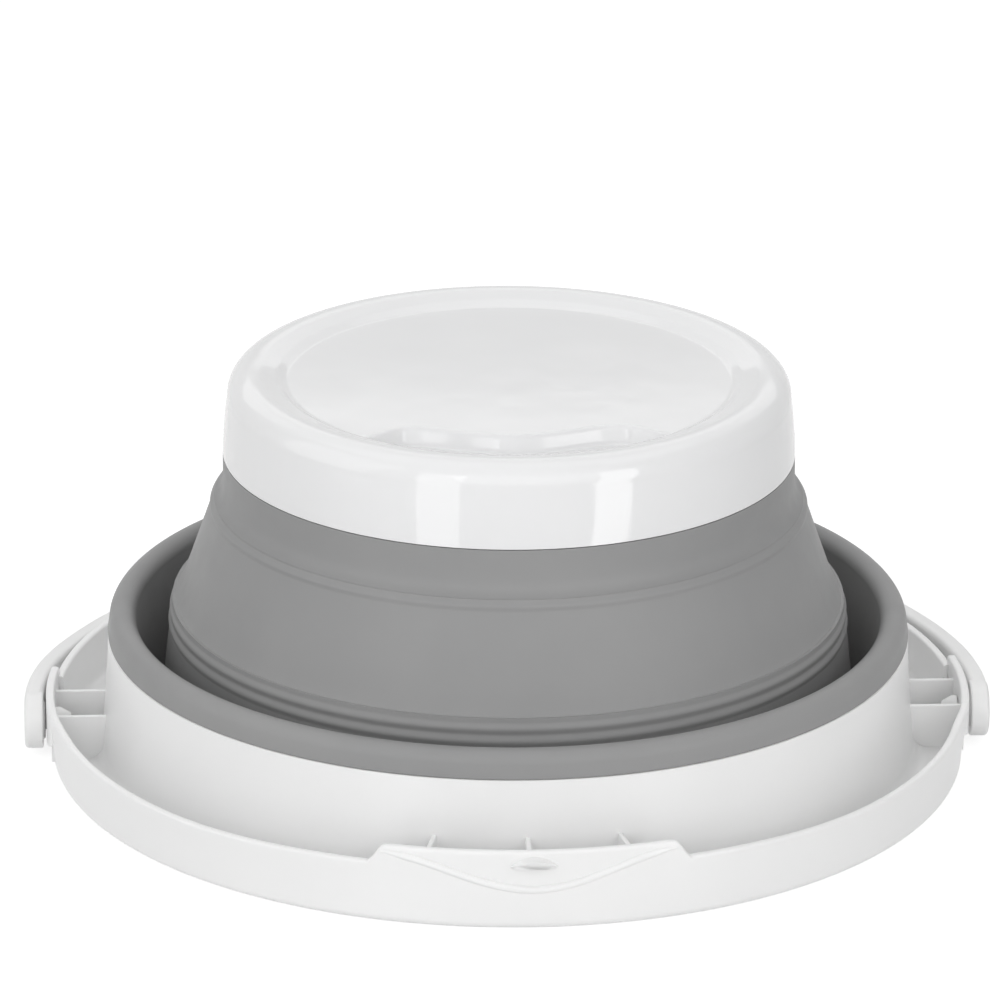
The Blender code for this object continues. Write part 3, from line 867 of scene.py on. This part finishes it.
    def meet_ears(self, point: Vector) -> Vector:
        """Let the skirt flow out and up into the front end of each ear.

        Args:
            point: Vertex of the whole blank.

        Returns:
            Its place in the finished rim.
        """
        radius = math.hypot(point.x, point.y)
        if point.y > 0.0 or radius < self.skirt_foot - self.skirt_wall - self.flow_margin:
            return point
        turn = math.atan2(-point.y, abs(point.x))
        along = self.ear_radius * turn
        if along < self.ear_half - self.ear_wall:
            return point
        share = ease((self.ear_half + self.ear_flow - along) / self.ear_flow)
        rise = max(point.z - self.ear_sole, 0.0) / (self.skirt_height - self.ear_sole)
        outward = self.ear_radius - self.skirt_radius - self.flow_inset
        radius += outward * share * min(rise * self.flow_steepness, 1.0)
        lift = (self.ear_height - self.skirt_height - self.flow_drop) * share * rise
        side = math.copysign(1.0, point.x)
        return Vector((side * radius * math.cos(turn), -radius * math.sin(turn), point.z + lift))

    def blank(self) -> bpy.types.Object:
        """Build the turned blank with its raised tabs.

        Returns:
            The piece that stands for the rim's solid.
        """
        pocket = math.degrees((self.ear_half - self.ear_wall) / self.ear_radius)
        step_start = 90.0 - self.tab_angle - self.tab_step
        zones = [
            (pocket - self.seam_before, 7),
            (self.seam_before + self.seam_after, 1),
            (step_start - pocket - self.seam_after, 58),
            (self.tab_step, 12),
            (self.tab_angle, 40),
        ]
        shape = turned(self.blank_section(), zones)
        reshape(shape, self.shape_wall)
        mirrored(shape, Axis.X, Axis.Y)
        reshape(shape, self.meet_ears)
        item = piece("rim_shell", shape, RIM_PLASTIC, sharp=38.0)
        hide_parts("rim_frame")
        return item

    def ear_outline(self) -> list[tuple[float, float]]:
        """Front view of an ear: round sole, straight sides and rounded upper corners.

        Returns:
            Corners in order, X along the wall and Y up.
        """
        outline = []
        for i in range(33):
            along = self.ear_half * (2 * i / 32 - 1)
            outline.append((along, self.sole_line(along)))
        corner = self.ear_corner
        for side, start in ((1, 0), (-1, 90)):
            for i in range(5):
                angle = math.radians(start + 90 * i / 4)
                x = side * (self.ear_half - corner) + corner * math.cos(angle)
                outline.append((x, self.ear_height - corner + corner * math.sin(angle)))
        return outline

    def ears(self) -> bpy.types.Object:
        """Build the two raised pads that carry the handle's pivots.

        Returns:
            The piece with both ears.
        """
        shape = plate(self.ear_outline(), self.ear_wall, self.ear_soft, 4)
        flat = self.ear_half - self.ear_soft
        slice_along_x(shape, -flat, flat, 24)
        wrap(shape, self.ear_radius - self.ear_wall, 0.0)
        mirrored(shape, Axis.X)
        item = piece("ear_pads", shape, RIM_PLASTIC)
        self.pivot_holes(item)
        return item

    def pivot_holes(self, item: bpy.types.Object) -> None:
        """Drill the pivot holes through both ears.

        Args:
            item: Piece with the ears.
        """
        shape = shift(rod(self.pivot_radius, 4 * self.ear_radius, 48), z=self.pivot_height)
        drill = placed("drill", as_mesh("drill", shape))
        cut = item.modifiers.new("pivot holes", "BOOLEAN")
        cut.operation = "DIFFERENCE"
        cut.solver = "EXACT"
        cut.object = drill
        graph = bpy.context.evaluated_depsgraph_get()
        holed = bpy.data.meshes.new_from_object(item.evaluated_get(graph))
        item.modifiers.clear()
        old = item.data
        item.data = holed
        item.data.name = old.name + "_drilled"
        tool = drill.data
        bpy.data.objects.remove(drill)
        for spent in (old, tool):
            bpy.data.meshes.remove(spent)

    def upright(self, inner: float, outer: float, height: float, wall: float) -> BMesh:
        """Stand a web between the neck and the skirt, along X, centred on Y = 0.

        Args:
            inner: X where the web starts inside the neck's wall.
            outer: X where it ends inside the skirt's wall.
            height: Its height.
            wall: Its thickness.

        Returns:
            The web.
        """
        lean = self.neck_foot - self.neck_outer(height)
        low = self.rim_plate / 2
        outline = [(inner, low), (outer, low), (outer, height), (inner - lean, height)]
        shape = shift(plate(outline, wall, self.web_soft, 3), z=-wall / 2)
        return rotate(shape, 90.0, Axis.X)

    def ear_ribs(self) -> bpy.types.Object:
        """Build the ribs beside each pivot.

        Returns:
            The piece with all four ribs.
        """
        side = self.rib_spacing / 2
        inner = math.sqrt((self.neck_foot - self.neck_wall / 2) ** 2 - side**2)
        outer = math.sqrt((self.ear_radius - self.ear_wall / 2) ** 2 - side**2)
        shape = shift(self.upright(inner, outer, self.rib_height, self.rib_wall), y=side)
        return piece("ear_ribs", mirrored(shape, Axis.X, Axis.Y), RIM_PLASTIC)

    def gussets(self) -> bpy.types.Object:
        """Build the webs behind both tabs.

        Returns:
            The piece with all gussets.
        """
        inner = self.neck_foot - self.neck_wall / 2
        outer = self.skirt_radius - self.skirt_wall / 2 - self.recess
        webs = []
        for angle in (-self.gusset_angle, 0.0, self.gusset_angle):
            web = self.upright(inner, outer, self.gusset_height, self.gusset_wall)
            webs.append(rotate(web, angle - 90.0, Axis.Z))
        return piece("tab_gussets", mirrored(gathered(*webs), Axis.Y), RIM_PLASTIC)

    def beads(self) -> bpy.types.Object:
        """Build the round bead that hangs like a garland across each tab.

        Returns:
            The piece with both beads.
        """
        half = self.skirt_radius * math.radians(self.tab_angle + self.bead_end)
        shape = rod(self.bead_radius, 2 * half, 24)
        slice_along_x(shape, -half * 0.998, half * 0.998, 72)
        run_out = self.bead_fade + self.bead_end

        def hang(point: Vector) -> Vector:
            """Hang a vertex of the straight rod on the bead's line.

            Args:
                point: Vertex of the rod.

            Returns:
                Its place on the flat tab.
            """
            angle = math.degrees(point.x / self.skirt_radius)
            faded = ease((abs(angle) - self.tab_angle + self.bead_fade) / run_out)
            thin = 1.0 - self.bead_thinning * faded
            lean = self.bead_lean * (1.0 - (angle / self.tab_angle) ** 2)
            height = self.bead_line(angle - lean) + point.y * thin
            return Vector((point.x, height, point.z * thin + self.bead_proud - self.bead_radius))

        reshape(shape, hang)
        wrap(shape, self.skirt_radius, -90.0)
        mirrored(shape, Axis.Y)
        return piece("tab_beads", shape, RIM_PLASTIC, sharp=60.0)

    def lugs(self) -> bpy.types.Object:
        """Build the crescent lug in the middle of each tab, under which the handle rests.

        Returns:
            The piece with both lugs.
        """
        half = self.lug_half
        steps = 40

        def middle(x: float) -> float:
            """Height of the lug's upper side at a distance X from its middle."""
            return self.lug_top - self.lug_arch * (x / half) ** 2

        arch = []
        for i in range(steps + 1):
            x = half * (1.0 - 2.0 * i / steps)
            arch.append((x, middle(x) + self.lug_tip))
        for i in range(steps + 1):
            x = half * (2.0 * i / steps - 1.0)
            bar = self.lug_bar * (1.0 - (x / half) ** 2) + self.lug_tip
            arch.append((x, middle(x) - bar))
        root = self.skirt_radius - self.skirt_wall / 2
        shape = plate(arch, self.skirt_radius + self.lug_reach - root, self.lug_soft, 2)

        def taper(point: Vector) -> Vector:
            """Let the lug reach out less towards its tips.

            Args:
                point: Vertex of the flat lug.

            Returns:
                Its place in the tapered lug.
            """
            fade = math.sqrt(max(1.0 - (point.x / half) ** 2, 0.0))
            face = self.skirt_wall / 2 - self.recess - self.lug_sunk
            reach = point.z if point.z < face else face + (point.z - face) * fade
            return Vector((point.x, point.y, reach))

        reshape(shape, taper)
        wrap(shape, root, self.bead_lean - 90.0)
        mirrored(shape, Axis.Y)
        return piece("tab_lugs", shape, RIM_PLASTIC)

    def build(self) -> list[bpy.types.Object]:
        """Build the whole rim on its body.

        Returns:
            Its pieces.
        """
        pieces = [
            self.blank(),
            self.ears(),
            self.ear_ribs(),
            self.gussets(),
            self.beads(),
            self.lugs(),
        ]
        for item in pieces:
            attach(item, Body.RIM.value)
        return pieces


@dataclass
class SoftWall:
    """Soft wall that folds in two steps between the rim and the base."""

    wall: float = 0.0022
    steps: int = 300
    band_low: float = 0.0389
    band_radius: float = 0.1197
    band_edge: float = 0.0004
    lap_radius: float = 0.1185
    lap_high: float = 0.0421
    crest_radius: float = 0.1152
    crest_fold: float = 0.0428
    crest_round: float = 0.0040
    valley_radius: float = 0.1057
    valley_fold: float = 0.0100
    valley_round: float = 0.0032
    ring_foot: float = 0.1047
    ring_top: float = 0.1003
    ring_fold: float = 0.04975
    ridge_half: float = 0.00195
    ridge_proud: float = 0.00052
    ridge_pitch: float = 0.0037
    ridge_drop: float = 0.0031
    cone_foot: float = 0.0986
    cone_top: float = 0.0876
    cone_flare: float = 0.0008
    cone_wall: float = 0.0020
    cuff_fold: float = 0.08125
    cuff_flare: float = 0.0027
    cuff_high: float = 0.0953
    cuff_lap: float = 0.0922
    base_radius: float = 0.0849
    base_wall: float = 0.0024
    tongue_wall: float = 0.0009
    shoulder_share: float = 0.945
    shoulder_proud: float = 0.00060
    lip: float = 0.00012
    seam: float = 0.0003
    flare_fade: float = 12.0
    cuff_curve: int = 8
    cuff_crowding: float = 1.4
    cone_crowding: float = 1.2

    def whole(self, name: str, section: Section) -> bpy.types.Object:
        """Turn a section all the way round and finish it in soft plastic.

        Args:
            name: Name of the piece.
            section: Closed outline.

        Returns:
            The piece.
        """
        shape = turned(section, [(FULL_CIRCLE, self.steps)])
        return piece(name, shape, SOFT_PLASTIC, sharp=50.0)

    def band(self) -> bpy.types.Object:
        """Build the band that grips the neck and turns over in a round crest.

        Returns:
            The piece that rides on the rim.
        """
        inner = self.crest_round - self.wall
        edge = self.band_edge
        section = Section()
        section.bend(self.band_radius - edge, self.band_low + edge, edge, 0, -90, 4)
        section.through(
            (self.lap_radius, self.band_low),
            (self.lap_radius, self.lap_high),
            (self.crest_radius + inner, self.lap_high),
        )
        section.bend(self.crest_radius, self.crest_fold, inner, 0, 180, 12)
        section.bend(self.crest_radius, self.crest_fold, self.crest_round, 180, 0, 26)
        item = self.whole("soft_outer_band", section)
        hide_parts("outer_band")
        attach(item, Body.RIM.value)
        return item

    def outer_web(self) -> bpy.types.Object:
        """Build the web that runs down from the crest to the valley.

        Returns:
            The piece that stretches between the rim and the middle ring.
        """
        high = self.crest_radius - self.crest_round + self.wall
        low = self.valley_radius + self.valley_round
        section = Section()
        section.to(high, self.crest_fold)
        section.to(low, self.valley_fold, rows=24)
        section.to(low - self.wall, self.valley_fold)
        section.to(high - self.wall, self.crest_fold, rows=24)
        item = self.whole("soft_outer_web", section)
        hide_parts("outer_web")
        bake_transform(item)
        return item

    def ring_outer(self, height: float) -> float:
        """Radius of the middle ring's outer side at a height."""
        rise = (height - self.valley_fold) / (self.ring_fold - self.valley_fold)
        return self.ring_foot - (self.ring_foot - self.ring_top) * rise

    def ridged(self, height: float) -> tuple[float, float]:
        """Follow the middle ring's outer side with its two soft ridges.

        Args:
            height: Height of the point.

        Returns:
            Radius and height of the point.
        """
        proud = 0.0
        for number in (0, 1):
            middle = self.ring_fold - self.ridge_drop - number * self.ridge_pitch
            away = min(abs(height - middle) / self.ridge_half, 1.0)
            proud += self.ridge_proud * math.cos(0.5 * math.pi * away) ** 2
        return self.ring_outer(height) + proud, height

    def ring(self) -> bpy.types.Object:
        """Build the middle ring with its round valley and its two ridges.

        Returns:
            The piece that rides on the middle body.
        """
        inner = self.valley_round - self.wall
        ridged_length = self.ridge_drop + self.ridge_pitch + self.ridge_half
        section = Section()
        section.follow(lambda t: self.ridged(self.ring_fold - ridged_length * t), 44)
        section.to(self.valley_radius - inner, self.valley_fold, rows=12)
        section.bend(self.valley_radius, self.valley_fold, inner, 180, 360, 10)
        section.bend(self.valley_radius, self.valley_fold, self.valley_round, 360, 180, 18)
        section.to(self.ring_outer(self.ring_fold) - self.wall, self.ring_fold, rows=12)
        item = self.whole("soft_middle_ring", section)
        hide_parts("middle_ring")
        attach(item, Body.MIDDLE.value)
        return item

    def cone_outer(self, share: float) -> float:
        """Follow the cone's outer side.

        Args:
            share: Share of the cone's height, 0 at its foot and 1 at its top.

        Returns:
            The radius there.
        """
        line = self.cone_foot - (self.cone_foot - self.cone_top) * share
        away = min(abs(share - self.shoulder_share) / (1.0 - self.shoulder_share), 1.0)
        bulge = self.shoulder_proud * math.cos(0.5 * math.pi * away) ** 2
        return line + self.cone_flare * math.exp(-self.flare_fade * share) + bulge

    def cone(self) -> bpy.types.Object:
        """Build the cone between the ridged ring and the cuff.

        Returns:
            The piece that stretches between the middle ring and the base.
        """
        low = self.ring_fold
        rise = self.cuff_fold - low

        def outside(t: float) -> tuple[float, float]:
            """Point on the outer side, from the cone's top at 0 to its foot at 1."""
            share = 1.0 - t**self.cone_crowding
            return self.cone_outer(share), low + rise * share

        section = Section()
        section.follow(outside, 60)
        section.follow(lambda t: (self.cone_outer(t) - self.cone_wall, low + rise * t), 30)
        item = self.whole("soft_inner_cone", section)
        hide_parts("inner_web")
        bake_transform(item)
        return item

    def cuff(self) -> bpy.types.Object:
        """Build the cuff that grips the base, with a soft shoulder at its foot.

        Returns:
            The piece that rides on the base.
        """
        low = self.cuff_fold
        high = self.cuff_high
        lip = self.lip
        lap_radius = self.base_radius - self.base_wall + self.tongue_wall + self.seam

        def side(t: float) -> tuple[float, float]:
            """Point on the cuff's outer side, from its upper edge at 0 to its lip at 1."""
            radius = self.base_radius + self.cuff_flare * t**self.cuff_curve
            return radius, high + (low + lip - high) * t

        section = Section()
        section.to(self.base_radius - self.seam, high)
        section.follow(lambda t: side(1.0 - (1.0 - t) ** self.cuff_crowding), 36)
        section.bend(self.base_radius + self.cuff_flare - lip, low + lip, lip, 0, -90, 6)
        section.through(
            (self.cone_top - self.wall, low),
            (self.base_radius - self.base_wall, self.cuff_lap),
            (lap_radius, self.cuff_lap),
            (lap_radius, high),
        )
        item = self.whole("soft_base_cuff", section)
        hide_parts("base_cuff")
        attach(item, Body.BASE.value)
        return item

    def build(self) -> list[bpy.types.Object]:
        """Build the five soft pieces.

        Returns:
            Its pieces, from the rim inwards.
        """
        return [self.band(), self.outer_web(), self.ring(), self.cone(), self.cuff()]


@dataclass
class BasePan:
    """Rigid base: wall, foot ring, sunk panel and the finger grip pressed into it."""

    edge: float = 0.0956
    radius: float = 0.0849
    wall: float = 0.0024
    taper: float = 0.0014
    foot_height: float = 0.1200
    foot_round: float = 0.0068
    foot_flat: float = 0.0026
    foot_slope: float = 0.0052
    foot_drop: float = 0.0014
    panel_sink: float = 0.0030
    panel_radius: float = 0.0663
    tongue_height: float = 0.0031
    tongue_wall: float = 0.0009
    grip_depth: float = 0.0050
    grip_wall: float = 0.0020
    grip_half: float = 0.0457
    grip_bump: float = 0.0310
    grip_wave: float = 0.0080
    grip_front: float = 0.0659
    grip_slope: float = 0.0036
    grip_front_slope: float = 0.0020
    grip_margin: float = 0.0002
    wall_curve: float = 1.6
    panel_core: float = 0.030
    inside_core: float = 0.028
    panel_crease: float = 0.0004
    foot_crease: float = 0.0006
    crease_rise: float = 0.0001
    slope_crease: float = 0.0002
    seam: float = 0.0003
    front_sweep: float = 94.0

    def outer(self, rise: float) -> float:
        """Radius of the wall's outer side at a rise above its lower edge."""
        straight = self.foot_height - self.foot_round - self.edge
        return self.radius - self.taper * (rise / straight) ** self.wall_curve

    def section(self) -> Section:
        """Draw half of the pan, from the panel's middle outside to its middle inside.

        Returns:
            Open outline that begins and ends on the axis.
        """
        panel = self.foot_height - self.panel_sink
        shoulder = self.foot_height - self.foot_round
        ring = self.radius - self.taper - self.foot_round
        ring_inner = ring - self.foot_flat
        slope_foot = ring_inner - self.foot_slope
        slope_height = self.foot_height - self.foot_drop
        straight = shoulder - self.edge
        tongue = self.radius - self.wall + self.tongue_wall
        section = Section()
        section.to(0.0, panel)
        section.to(self.panel_core, panel, rows=6)
        section.to(self.panel_radius - self.panel_crease, panel, rows=66)
        section.to(self.panel_radius, panel + self.crease_rise)
        crease = slope_foot - self.panel_crease
        section.to(crease, slope_height - self.slope_crease, rows=3)
        section.to(slope_foot, slope_height)
        section.to(ring_inner - self.foot_crease, self.foot_height - self.crease_rise, rows=5)
        section.to(ring_inner, self.foot_height)
        section.bend(ring, shoulder, self.foot_round, 90, 0, 18)
        section.follow(lambda t: (self.outer(straight * (1 - t)), shoulder - straight * t), 16)
        section.through(
            (self.radius - self.seam, self.edge),
            (tongue, self.edge),
            (tongue, self.edge - self.tongue_height),
            (self.radius - self.wall, self.edge - self.tongue_height),
        )
        section.follow(
            lambda t: (self.outer(straight * t) - self.wall, self.edge + straight * t), 8
        )
        section.bend(ring, shoulder, self.foot_round - self.wall, 0, 90, 8)
        section.through(
            (ring_inner, self.foot_height - self.wall),
            (slope_foot, slope_height - self.wall),
            (self.panel_radius, panel - self.wall),
        )
        section.to(self.inside_core, panel - self.wall, rows=36)
        section.to(0.0, panel - self.wall, rows=4)
        return section

    def grip_back(self, x: float) -> float:
        """Follow the wavy back edge of the finger grip.

        Args:
            x: Distance X from the grip's middle.

        Returns:
            Y of the edge there.
        """
        corner = -math.sqrt(self.grip_front**2 - self.grip_half**2)
        away = abs(x)
        if away <= self.grip_bump:
            return corner + self.grip_wave * ease(away / self.grip_bump)
        outward = (away - self.grip_bump) / (self.grip_half - self.grip_bump)
        return corner + self.grip_wave * (1.0 - ease(outward))

    def press_grip(self, point: Vector) -> Vector:
        """Press the finger grip into the panel, and its shell out of the inside.

        Args:
            point: Vertex of the turned pan.

        Returns:
            Its place in the finished pan.
        """
        panel = self.foot_height - self.panel_sink
        reach = math.hypot(point.x, point.y)
        beyond = reach > self.panel_radius + self.grip_margin
        if beyond or point.y > 0.0 or point.z < panel - 2 * self.wall:
            return point
        inside = point.z < panel - self.wall / 2
        grow = self.grip_wall if inside else 0.0
        depth = self.grip_depth + self.grip_wall - self.wall if inside else self.grip_depth
        step = 0.0005
        slope = (self.grip_back(point.x + step) - self.grip_back(point.x - step)) / (2 * step)
        from_back = (self.grip_back(point.x) - point.y) / math.sqrt(1.0 + slope**2) + grow
        from_front = self.grip_front - reach + grow
        down = ease(from_back / self.grip_slope) * ease(from_front / self.grip_front_slope)
        return Vector((point.x, point.y, point.z - depth * down))

    def build(self) -> list[bpy.types.Object]:
        """Build the base on its body.

        Returns:
            Its pieces.
        """
        zones = [(self.front_sweep, 150), (FULL_CIRCLE - self.front_sweep, 176)]
        start = -90.0 - self.front_sweep / 2
        shape = turned(self.section(), zones, start=start, closed=False)
        reshape(shape, self.press_grip)
        bmesh.ops.recalc_face_normals(shape, faces=shape.faces)
        item = piece("base_shell", shape, BASE_PLASTIC, sharp=50.0)
        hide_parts("base_pan")
        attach(item, Body.BASE.value)
        return [item]


@dataclass
class BailHandle:
    """Bail handle that snaps into the ears and lies folded back on the table."""

    pivot_height: float = 0.0104
    tilt: float = 0.54
    flare_length: float = 0.0700
    twist: float = 0.0010
    inner: float = 0.1394
    outer: float = 0.1450
    bow_outer: float = 0.1439
    height: float = 0.0125
    soft: float = 0.0016
    end_radius: float = 0.0084
    end_soft: float = 0.0014
    boss_face: float = 0.1388
    boss_radius: float = 0.0056
    pin_radius: float = 0.0028
    barb_face: float = 0.1357
    barb_radius: float = 0.0039
    barb_length: float = 0.0046
    barb_rim: float = 0.0014
    barb_tip: float = 0.0020
    slot: float = 0.0012
    slot_depth: float = 0.0060
    nick: float = 0.0003
    barb_edge: float = 0.0002

    def bow(self) -> BMesh:
        """Bend the bow from one arm to the other.

        Returns:
            Half a ring of rounded rectangular section, slightly flattened to its bow.
        """
        half = self.height / 2 - self.soft
        near = self.inner + self.soft
        far = self.outer - self.soft
        section = Section()
        section.bend(near, half, self.soft, 180, 90, 6)
        section.bend(far, half, self.soft, 90, 0, 6)
        section.bend(far, -half, self.soft, 0, -90, 6)
        section.bend(near, -half, self.soft, -90, -180, 6)
        shape = turned(section, [(180.0, 150)])
        bmesh.ops.holes_fill(shape, edges=shape.edges, sides=0)
        flat = (1.0, self.bow_outer / self.outer, 1.0)
        bmesh.ops.scale(shape, vec=flat, verts=shape.verts)
        return weld_and_face_out(reshape(shape, self.flare))

    def flare(self, point: Vector) -> Vector:
        """Let the bow grow in height towards its ends, and twist it slightly.

        Args:
            point: Vertex of the even bow.

        Returns:
            Its place in the flared bow.
        """
        growth = 2 * self.end_radius / self.height - 1.0
        tall = 1.0 + growth * (1.0 - ease(point.y / self.flare_length))
        lift = 4 * self.twist * point.x * point.y / self.outer**2
        return Vector((point.x, point.y, point.z * tall + lift))

    def arm_end(self) -> BMesh:
        """Turn the round arm end with its boss and the pin's root.

        Returns:
            The turned end at the right-hand ear.
        """
        soft = self.end_soft
        section = Section()
        section.to(0.0, self.outer)
        section.bend(self.end_radius - soft, self.outer - soft, soft, 90, 0, 8)
        section.bend(self.end_radius - soft / 2, self.inner + soft / 2, soft / 2, 0, -90, 5)
        root = self.barb_face - self.barb_length + self.slot_depth
        section.through(
            (self.boss_radius + self.nick, self.inner),
            (self.boss_radius, self.inner - self.nick),
            (self.boss_radius, self.boss_face + self.nick),
            (self.boss_radius - self.nick, self.boss_face),
            (self.pin_radius, self.boss_face),
            (self.pin_radius, root),
            (0.0, root),
        )
        return rotate(turned(section, [(FULL_CIRCLE, 72)], closed=False), 90.0, Axis.Y)

    def prongs(self) -> BMesh:
        """Turn the snap barb and split it in two prongs.

        Returns:
            Both prongs at the right-hand ear.
        """
        face = self.barb_face
        tip = face - self.barb_length
        root = tip + self.slot_depth
        section = Section().through(
            (0.0, root + self.nick),
            (self.pin_radius, root + self.nick),
            (self.pin_radius, face),
            (self.barb_radius - self.barb_edge, face),
            (self.barb_radius, face - self.barb_edge),
            (self.barb_radius, face - self.barb_rim),
            (self.barb_tip + self.nick, tip + self.barb_edge),
            (self.barb_tip, tip),
            (0.0, tip),
        )
        shape = rotate(turned(section, [(FULL_CIRCLE, 48)], closed=False), 90.0, Axis.Y)
        bmesh.ops.bisect_plane(
            shape,
            geom=everything(shape),
            dist=WELD,
            plane_co=(0.0, 0.0, self.slot / 2),
            plane_no=(0.0, 0.0, 1.0),
            clear_inner=True,
        )
        bmesh.ops.holes_fill(shape, edges=shape.edges, sides=0)
        return mirrored(shape, Axis.Z)

    def build(self) -> list[bpy.types.Object]:
        """Build the handle on its body, laid back on its pivots.

        Returns:
            Its pieces.
        """
        ends = mirrored(gathered(self.arm_end(), self.prongs()), Axis.X)
        shape = rotate(gathered(self.bow(), ends), -self.tilt, Axis.X)
        item = piece("handle_bail", shift(shape, z=self.pivot_height), HANDLE_PLASTIC)
        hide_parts("bail_handle")
        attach(item, Body.HANDLE.value)
        return [item]


@dataclass(frozen=True)
class Softbox:
    """Rectangular lamp that looks at the basin."""

    name: str
    azimuth: float
    elevation: float
    distance: float
    width: float
    height: float
    power: float
    lean: float = 0.0
    aim_height: float = 0.08

    def hang(self) -> bpy.types.Object:
        """Hang the lamp.

        Returns:
            The lamp, turned to the basin's middle.
        """
        data = bpy.data.lights.new(self.name, "AREA")
        data.shape = "RECTANGLE"
        data.size = self.width
        data.size_y = self.height
        data.energy = self.power
        away = towards(self.azimuth, self.elevation)
        item = placed(self.name, data)
        item.location = Vector((0.0, 0.0, self.aim_height)) + away * self.distance
        aim = (-away).to_track_quat("-Z", "Y").to_matrix().to_4x4()
        spin = Matrix.Rotation(math.radians(self.lean), 4, "Z")
        item.matrix_world = Matrix.Translation(item.location) @ aim @ spin
        item.visible_camera = False
        return item


@dataclass
class Studio:
    """Plain pale floor, white surroundings, soft lamps and the camera."""

    distance: float = 2.112
    elevation: float = 22.48
    pitch: float = 20.47
    heading: float = 2.85
    roll: float = 0.33
    lens: float = 252.0
    shift_x: float = -0.00872
    sensor: float = 36.0
    sight: float = 50.0
    floor_size: float = 8.0
    floor_gap: float = 0.0001
    floor_tone: Colour = (0.85, 0.85, 0.85, 1.0)
    shade_tone: Colour = (0.38, 0.38, 0.38, 1.0)
    floor_glow: float = 0.81
    sky_level: float = 0.13
    lamps: tuple[Softbox, ...] = (
        Softbox("left_softbox", -30.0, 8.0, 1.5, 0.46, 1.9, 6.3),
        Softbox("right_softbox", 40.0, 8.0, 1.5, 0.40, 1.9, 8.4, lean=-8.0),
        Softbox("front_softbox", 5.0, 28.0, 1.9, 1.9, 1.5, 10.2),
        Softbox("side_softbox", -80.0, 20.0, 1.6, 1.3, 1.7, 7.2),
        Softbox("back_softbox", 180.0, 55.0, 1.9, 2.8, 2.6, 16.0),
        Softbox("overhead_softbox", 0.0, 88.0, 1.8, 2.4, 2.4, 8.5),
    )

    def surroundings(self) -> None:
        """Light the basin evenly from all round, and show plain white to the camera."""
        world = bpy.data.worlds.new("surroundings")
        bpy.context.scene.world = world
        world.use_nodes = True
        wiring = Wiring(world.node_tree)
        wiring.tree.nodes.clear()
        light = wiring.add("ShaderNodeBackground", {"Color": WHITE, "Strength": self.sky_level})
        white = wiring.add("ShaderNodeBackground", {"Color": WHITE, "Strength": 1.0})
        shown = {"Fac": self.seen(wiring), 1: light.outputs[0], 2: white.outputs[0]}
        mix = wiring.add("ShaderNodeMixShader", shown)
        wiring.add("ShaderNodeOutputWorld", {"Surface": mix.outputs["Shader"]})

    @staticmethod
    def seen(wiring: Wiring) -> bpy.types.NodeSocket:
        """Add the test whether a ray is seen by the camera, directly or in gloss or glass.

        Args:
            wiring: Node tree of the surroundings.

        Returns:
            Socket that is 1 for such a ray.
        """
        path = wiring.add("ShaderNodeLightPath").outputs
        gloss = wiring.largest(path["Is Camera Ray"], path["Is Glossy Ray"])
        return wiring.largest(gloss, path["Is Transmission Ray"])

    def floor(self) -> bpy.types.Object:
        """Lay the floor: white to the camera but for the basin's shadow, pale to the light.

        Returns:
            The floor.
        """
        shape = bmesh.new()
        bmesh.ops.create_grid(shape, x_segments=1, y_segments=1, size=self.floor_size / 2)
        data = as_mesh("floor", shift(shape, z=-self.floor_gap))
        material = bpy.data.materials.new("pale_floor")
        material.use_nodes = True
        wiring = Wiring(material.node_tree)
        wiring.tree.nodes.clear()
        path = wiring.add("ShaderNodeLightPath").outputs
        pale = wiring.add("ShaderNodeBsdfDiffuse", {"Color": self.floor_tone})
        shade = wiring.add("ShaderNodeBsdfDiffuse", {"Color": self.shade_tone})
        glow = wiring.add("ShaderNodeEmission", {"Strength": self.floor_glow})
        both = wiring.add("ShaderNodeAddShader", {0: shade.outputs[0], 1: glow.outputs[0]})
        clear = wiring.add("ShaderNodeBsdfTransparent")
        shown = {"Fac": path["Is Camera Ray"], 1: pale.outputs[0], 2: both.outputs[0]}
        direct = wiring.add("ShaderNodeMixShader", shown)
        shown = {"Fac": path["Is Glossy Ray"], 1: direct.outputs[0], 2: clear.outputs[0]}
        mix = wiring.add("ShaderNodeMixShader", shown)
        wiring.add("ShaderNodeOutputMaterial", {"Surface": mix.outputs["Shader"]})
        data.materials.append(material)
        item = placed("floor", data)
        return item

    def camera(self) -> bpy.types.Object:
        """Set the camera where the photograph was taken from.

        Returns:
            The camera.
        """
        data = bpy.data.cameras.new("camera")
        data.lens = self.lens
        data.sensor_width = self.sensor
        data.shift_x = self.shift_x
        data.clip_end = self.sight
        forward = -towards(-self.heading, self.pitch)
        right = forward.cross(Vector((0.0, 0.0, 1.0))).normalized()
        aim = Matrix((right, right.cross(forward), -forward)).transposed().to_4x4()
        item = placed("camera", data)
        place = Matrix.Translation(towards(-self.heading, self.elevation) * self.distance)
        item.matrix_world = place @ aim @ Matrix.Rotation(math.radians(self.roll), 4, "Z")
        bpy.context.scene.camera = item
        return item

    def build(self) -> None:
        """Set up the studio and keep the plain view settings."""
        self.camera()
        self.surroundings()
        self.floor()
        for lamp in self.lamps:
            lamp.hang()
        bpy.context.scene.view_settings.view_transform = "Standard"


def main() -> None:
    """Build the studio and the washbasin's parts in order."""
    logging.basicConfig(level=logging.INFO, format="%(name)s: %(message)s")
    Studio().build()
    for assembly in (RimFrame(), SoftWall(), BasePan(), BailHandle()):
        for item in assembly.build():
            log.info("%s stands", item.name)


if __name__ == "__main__":
    main()
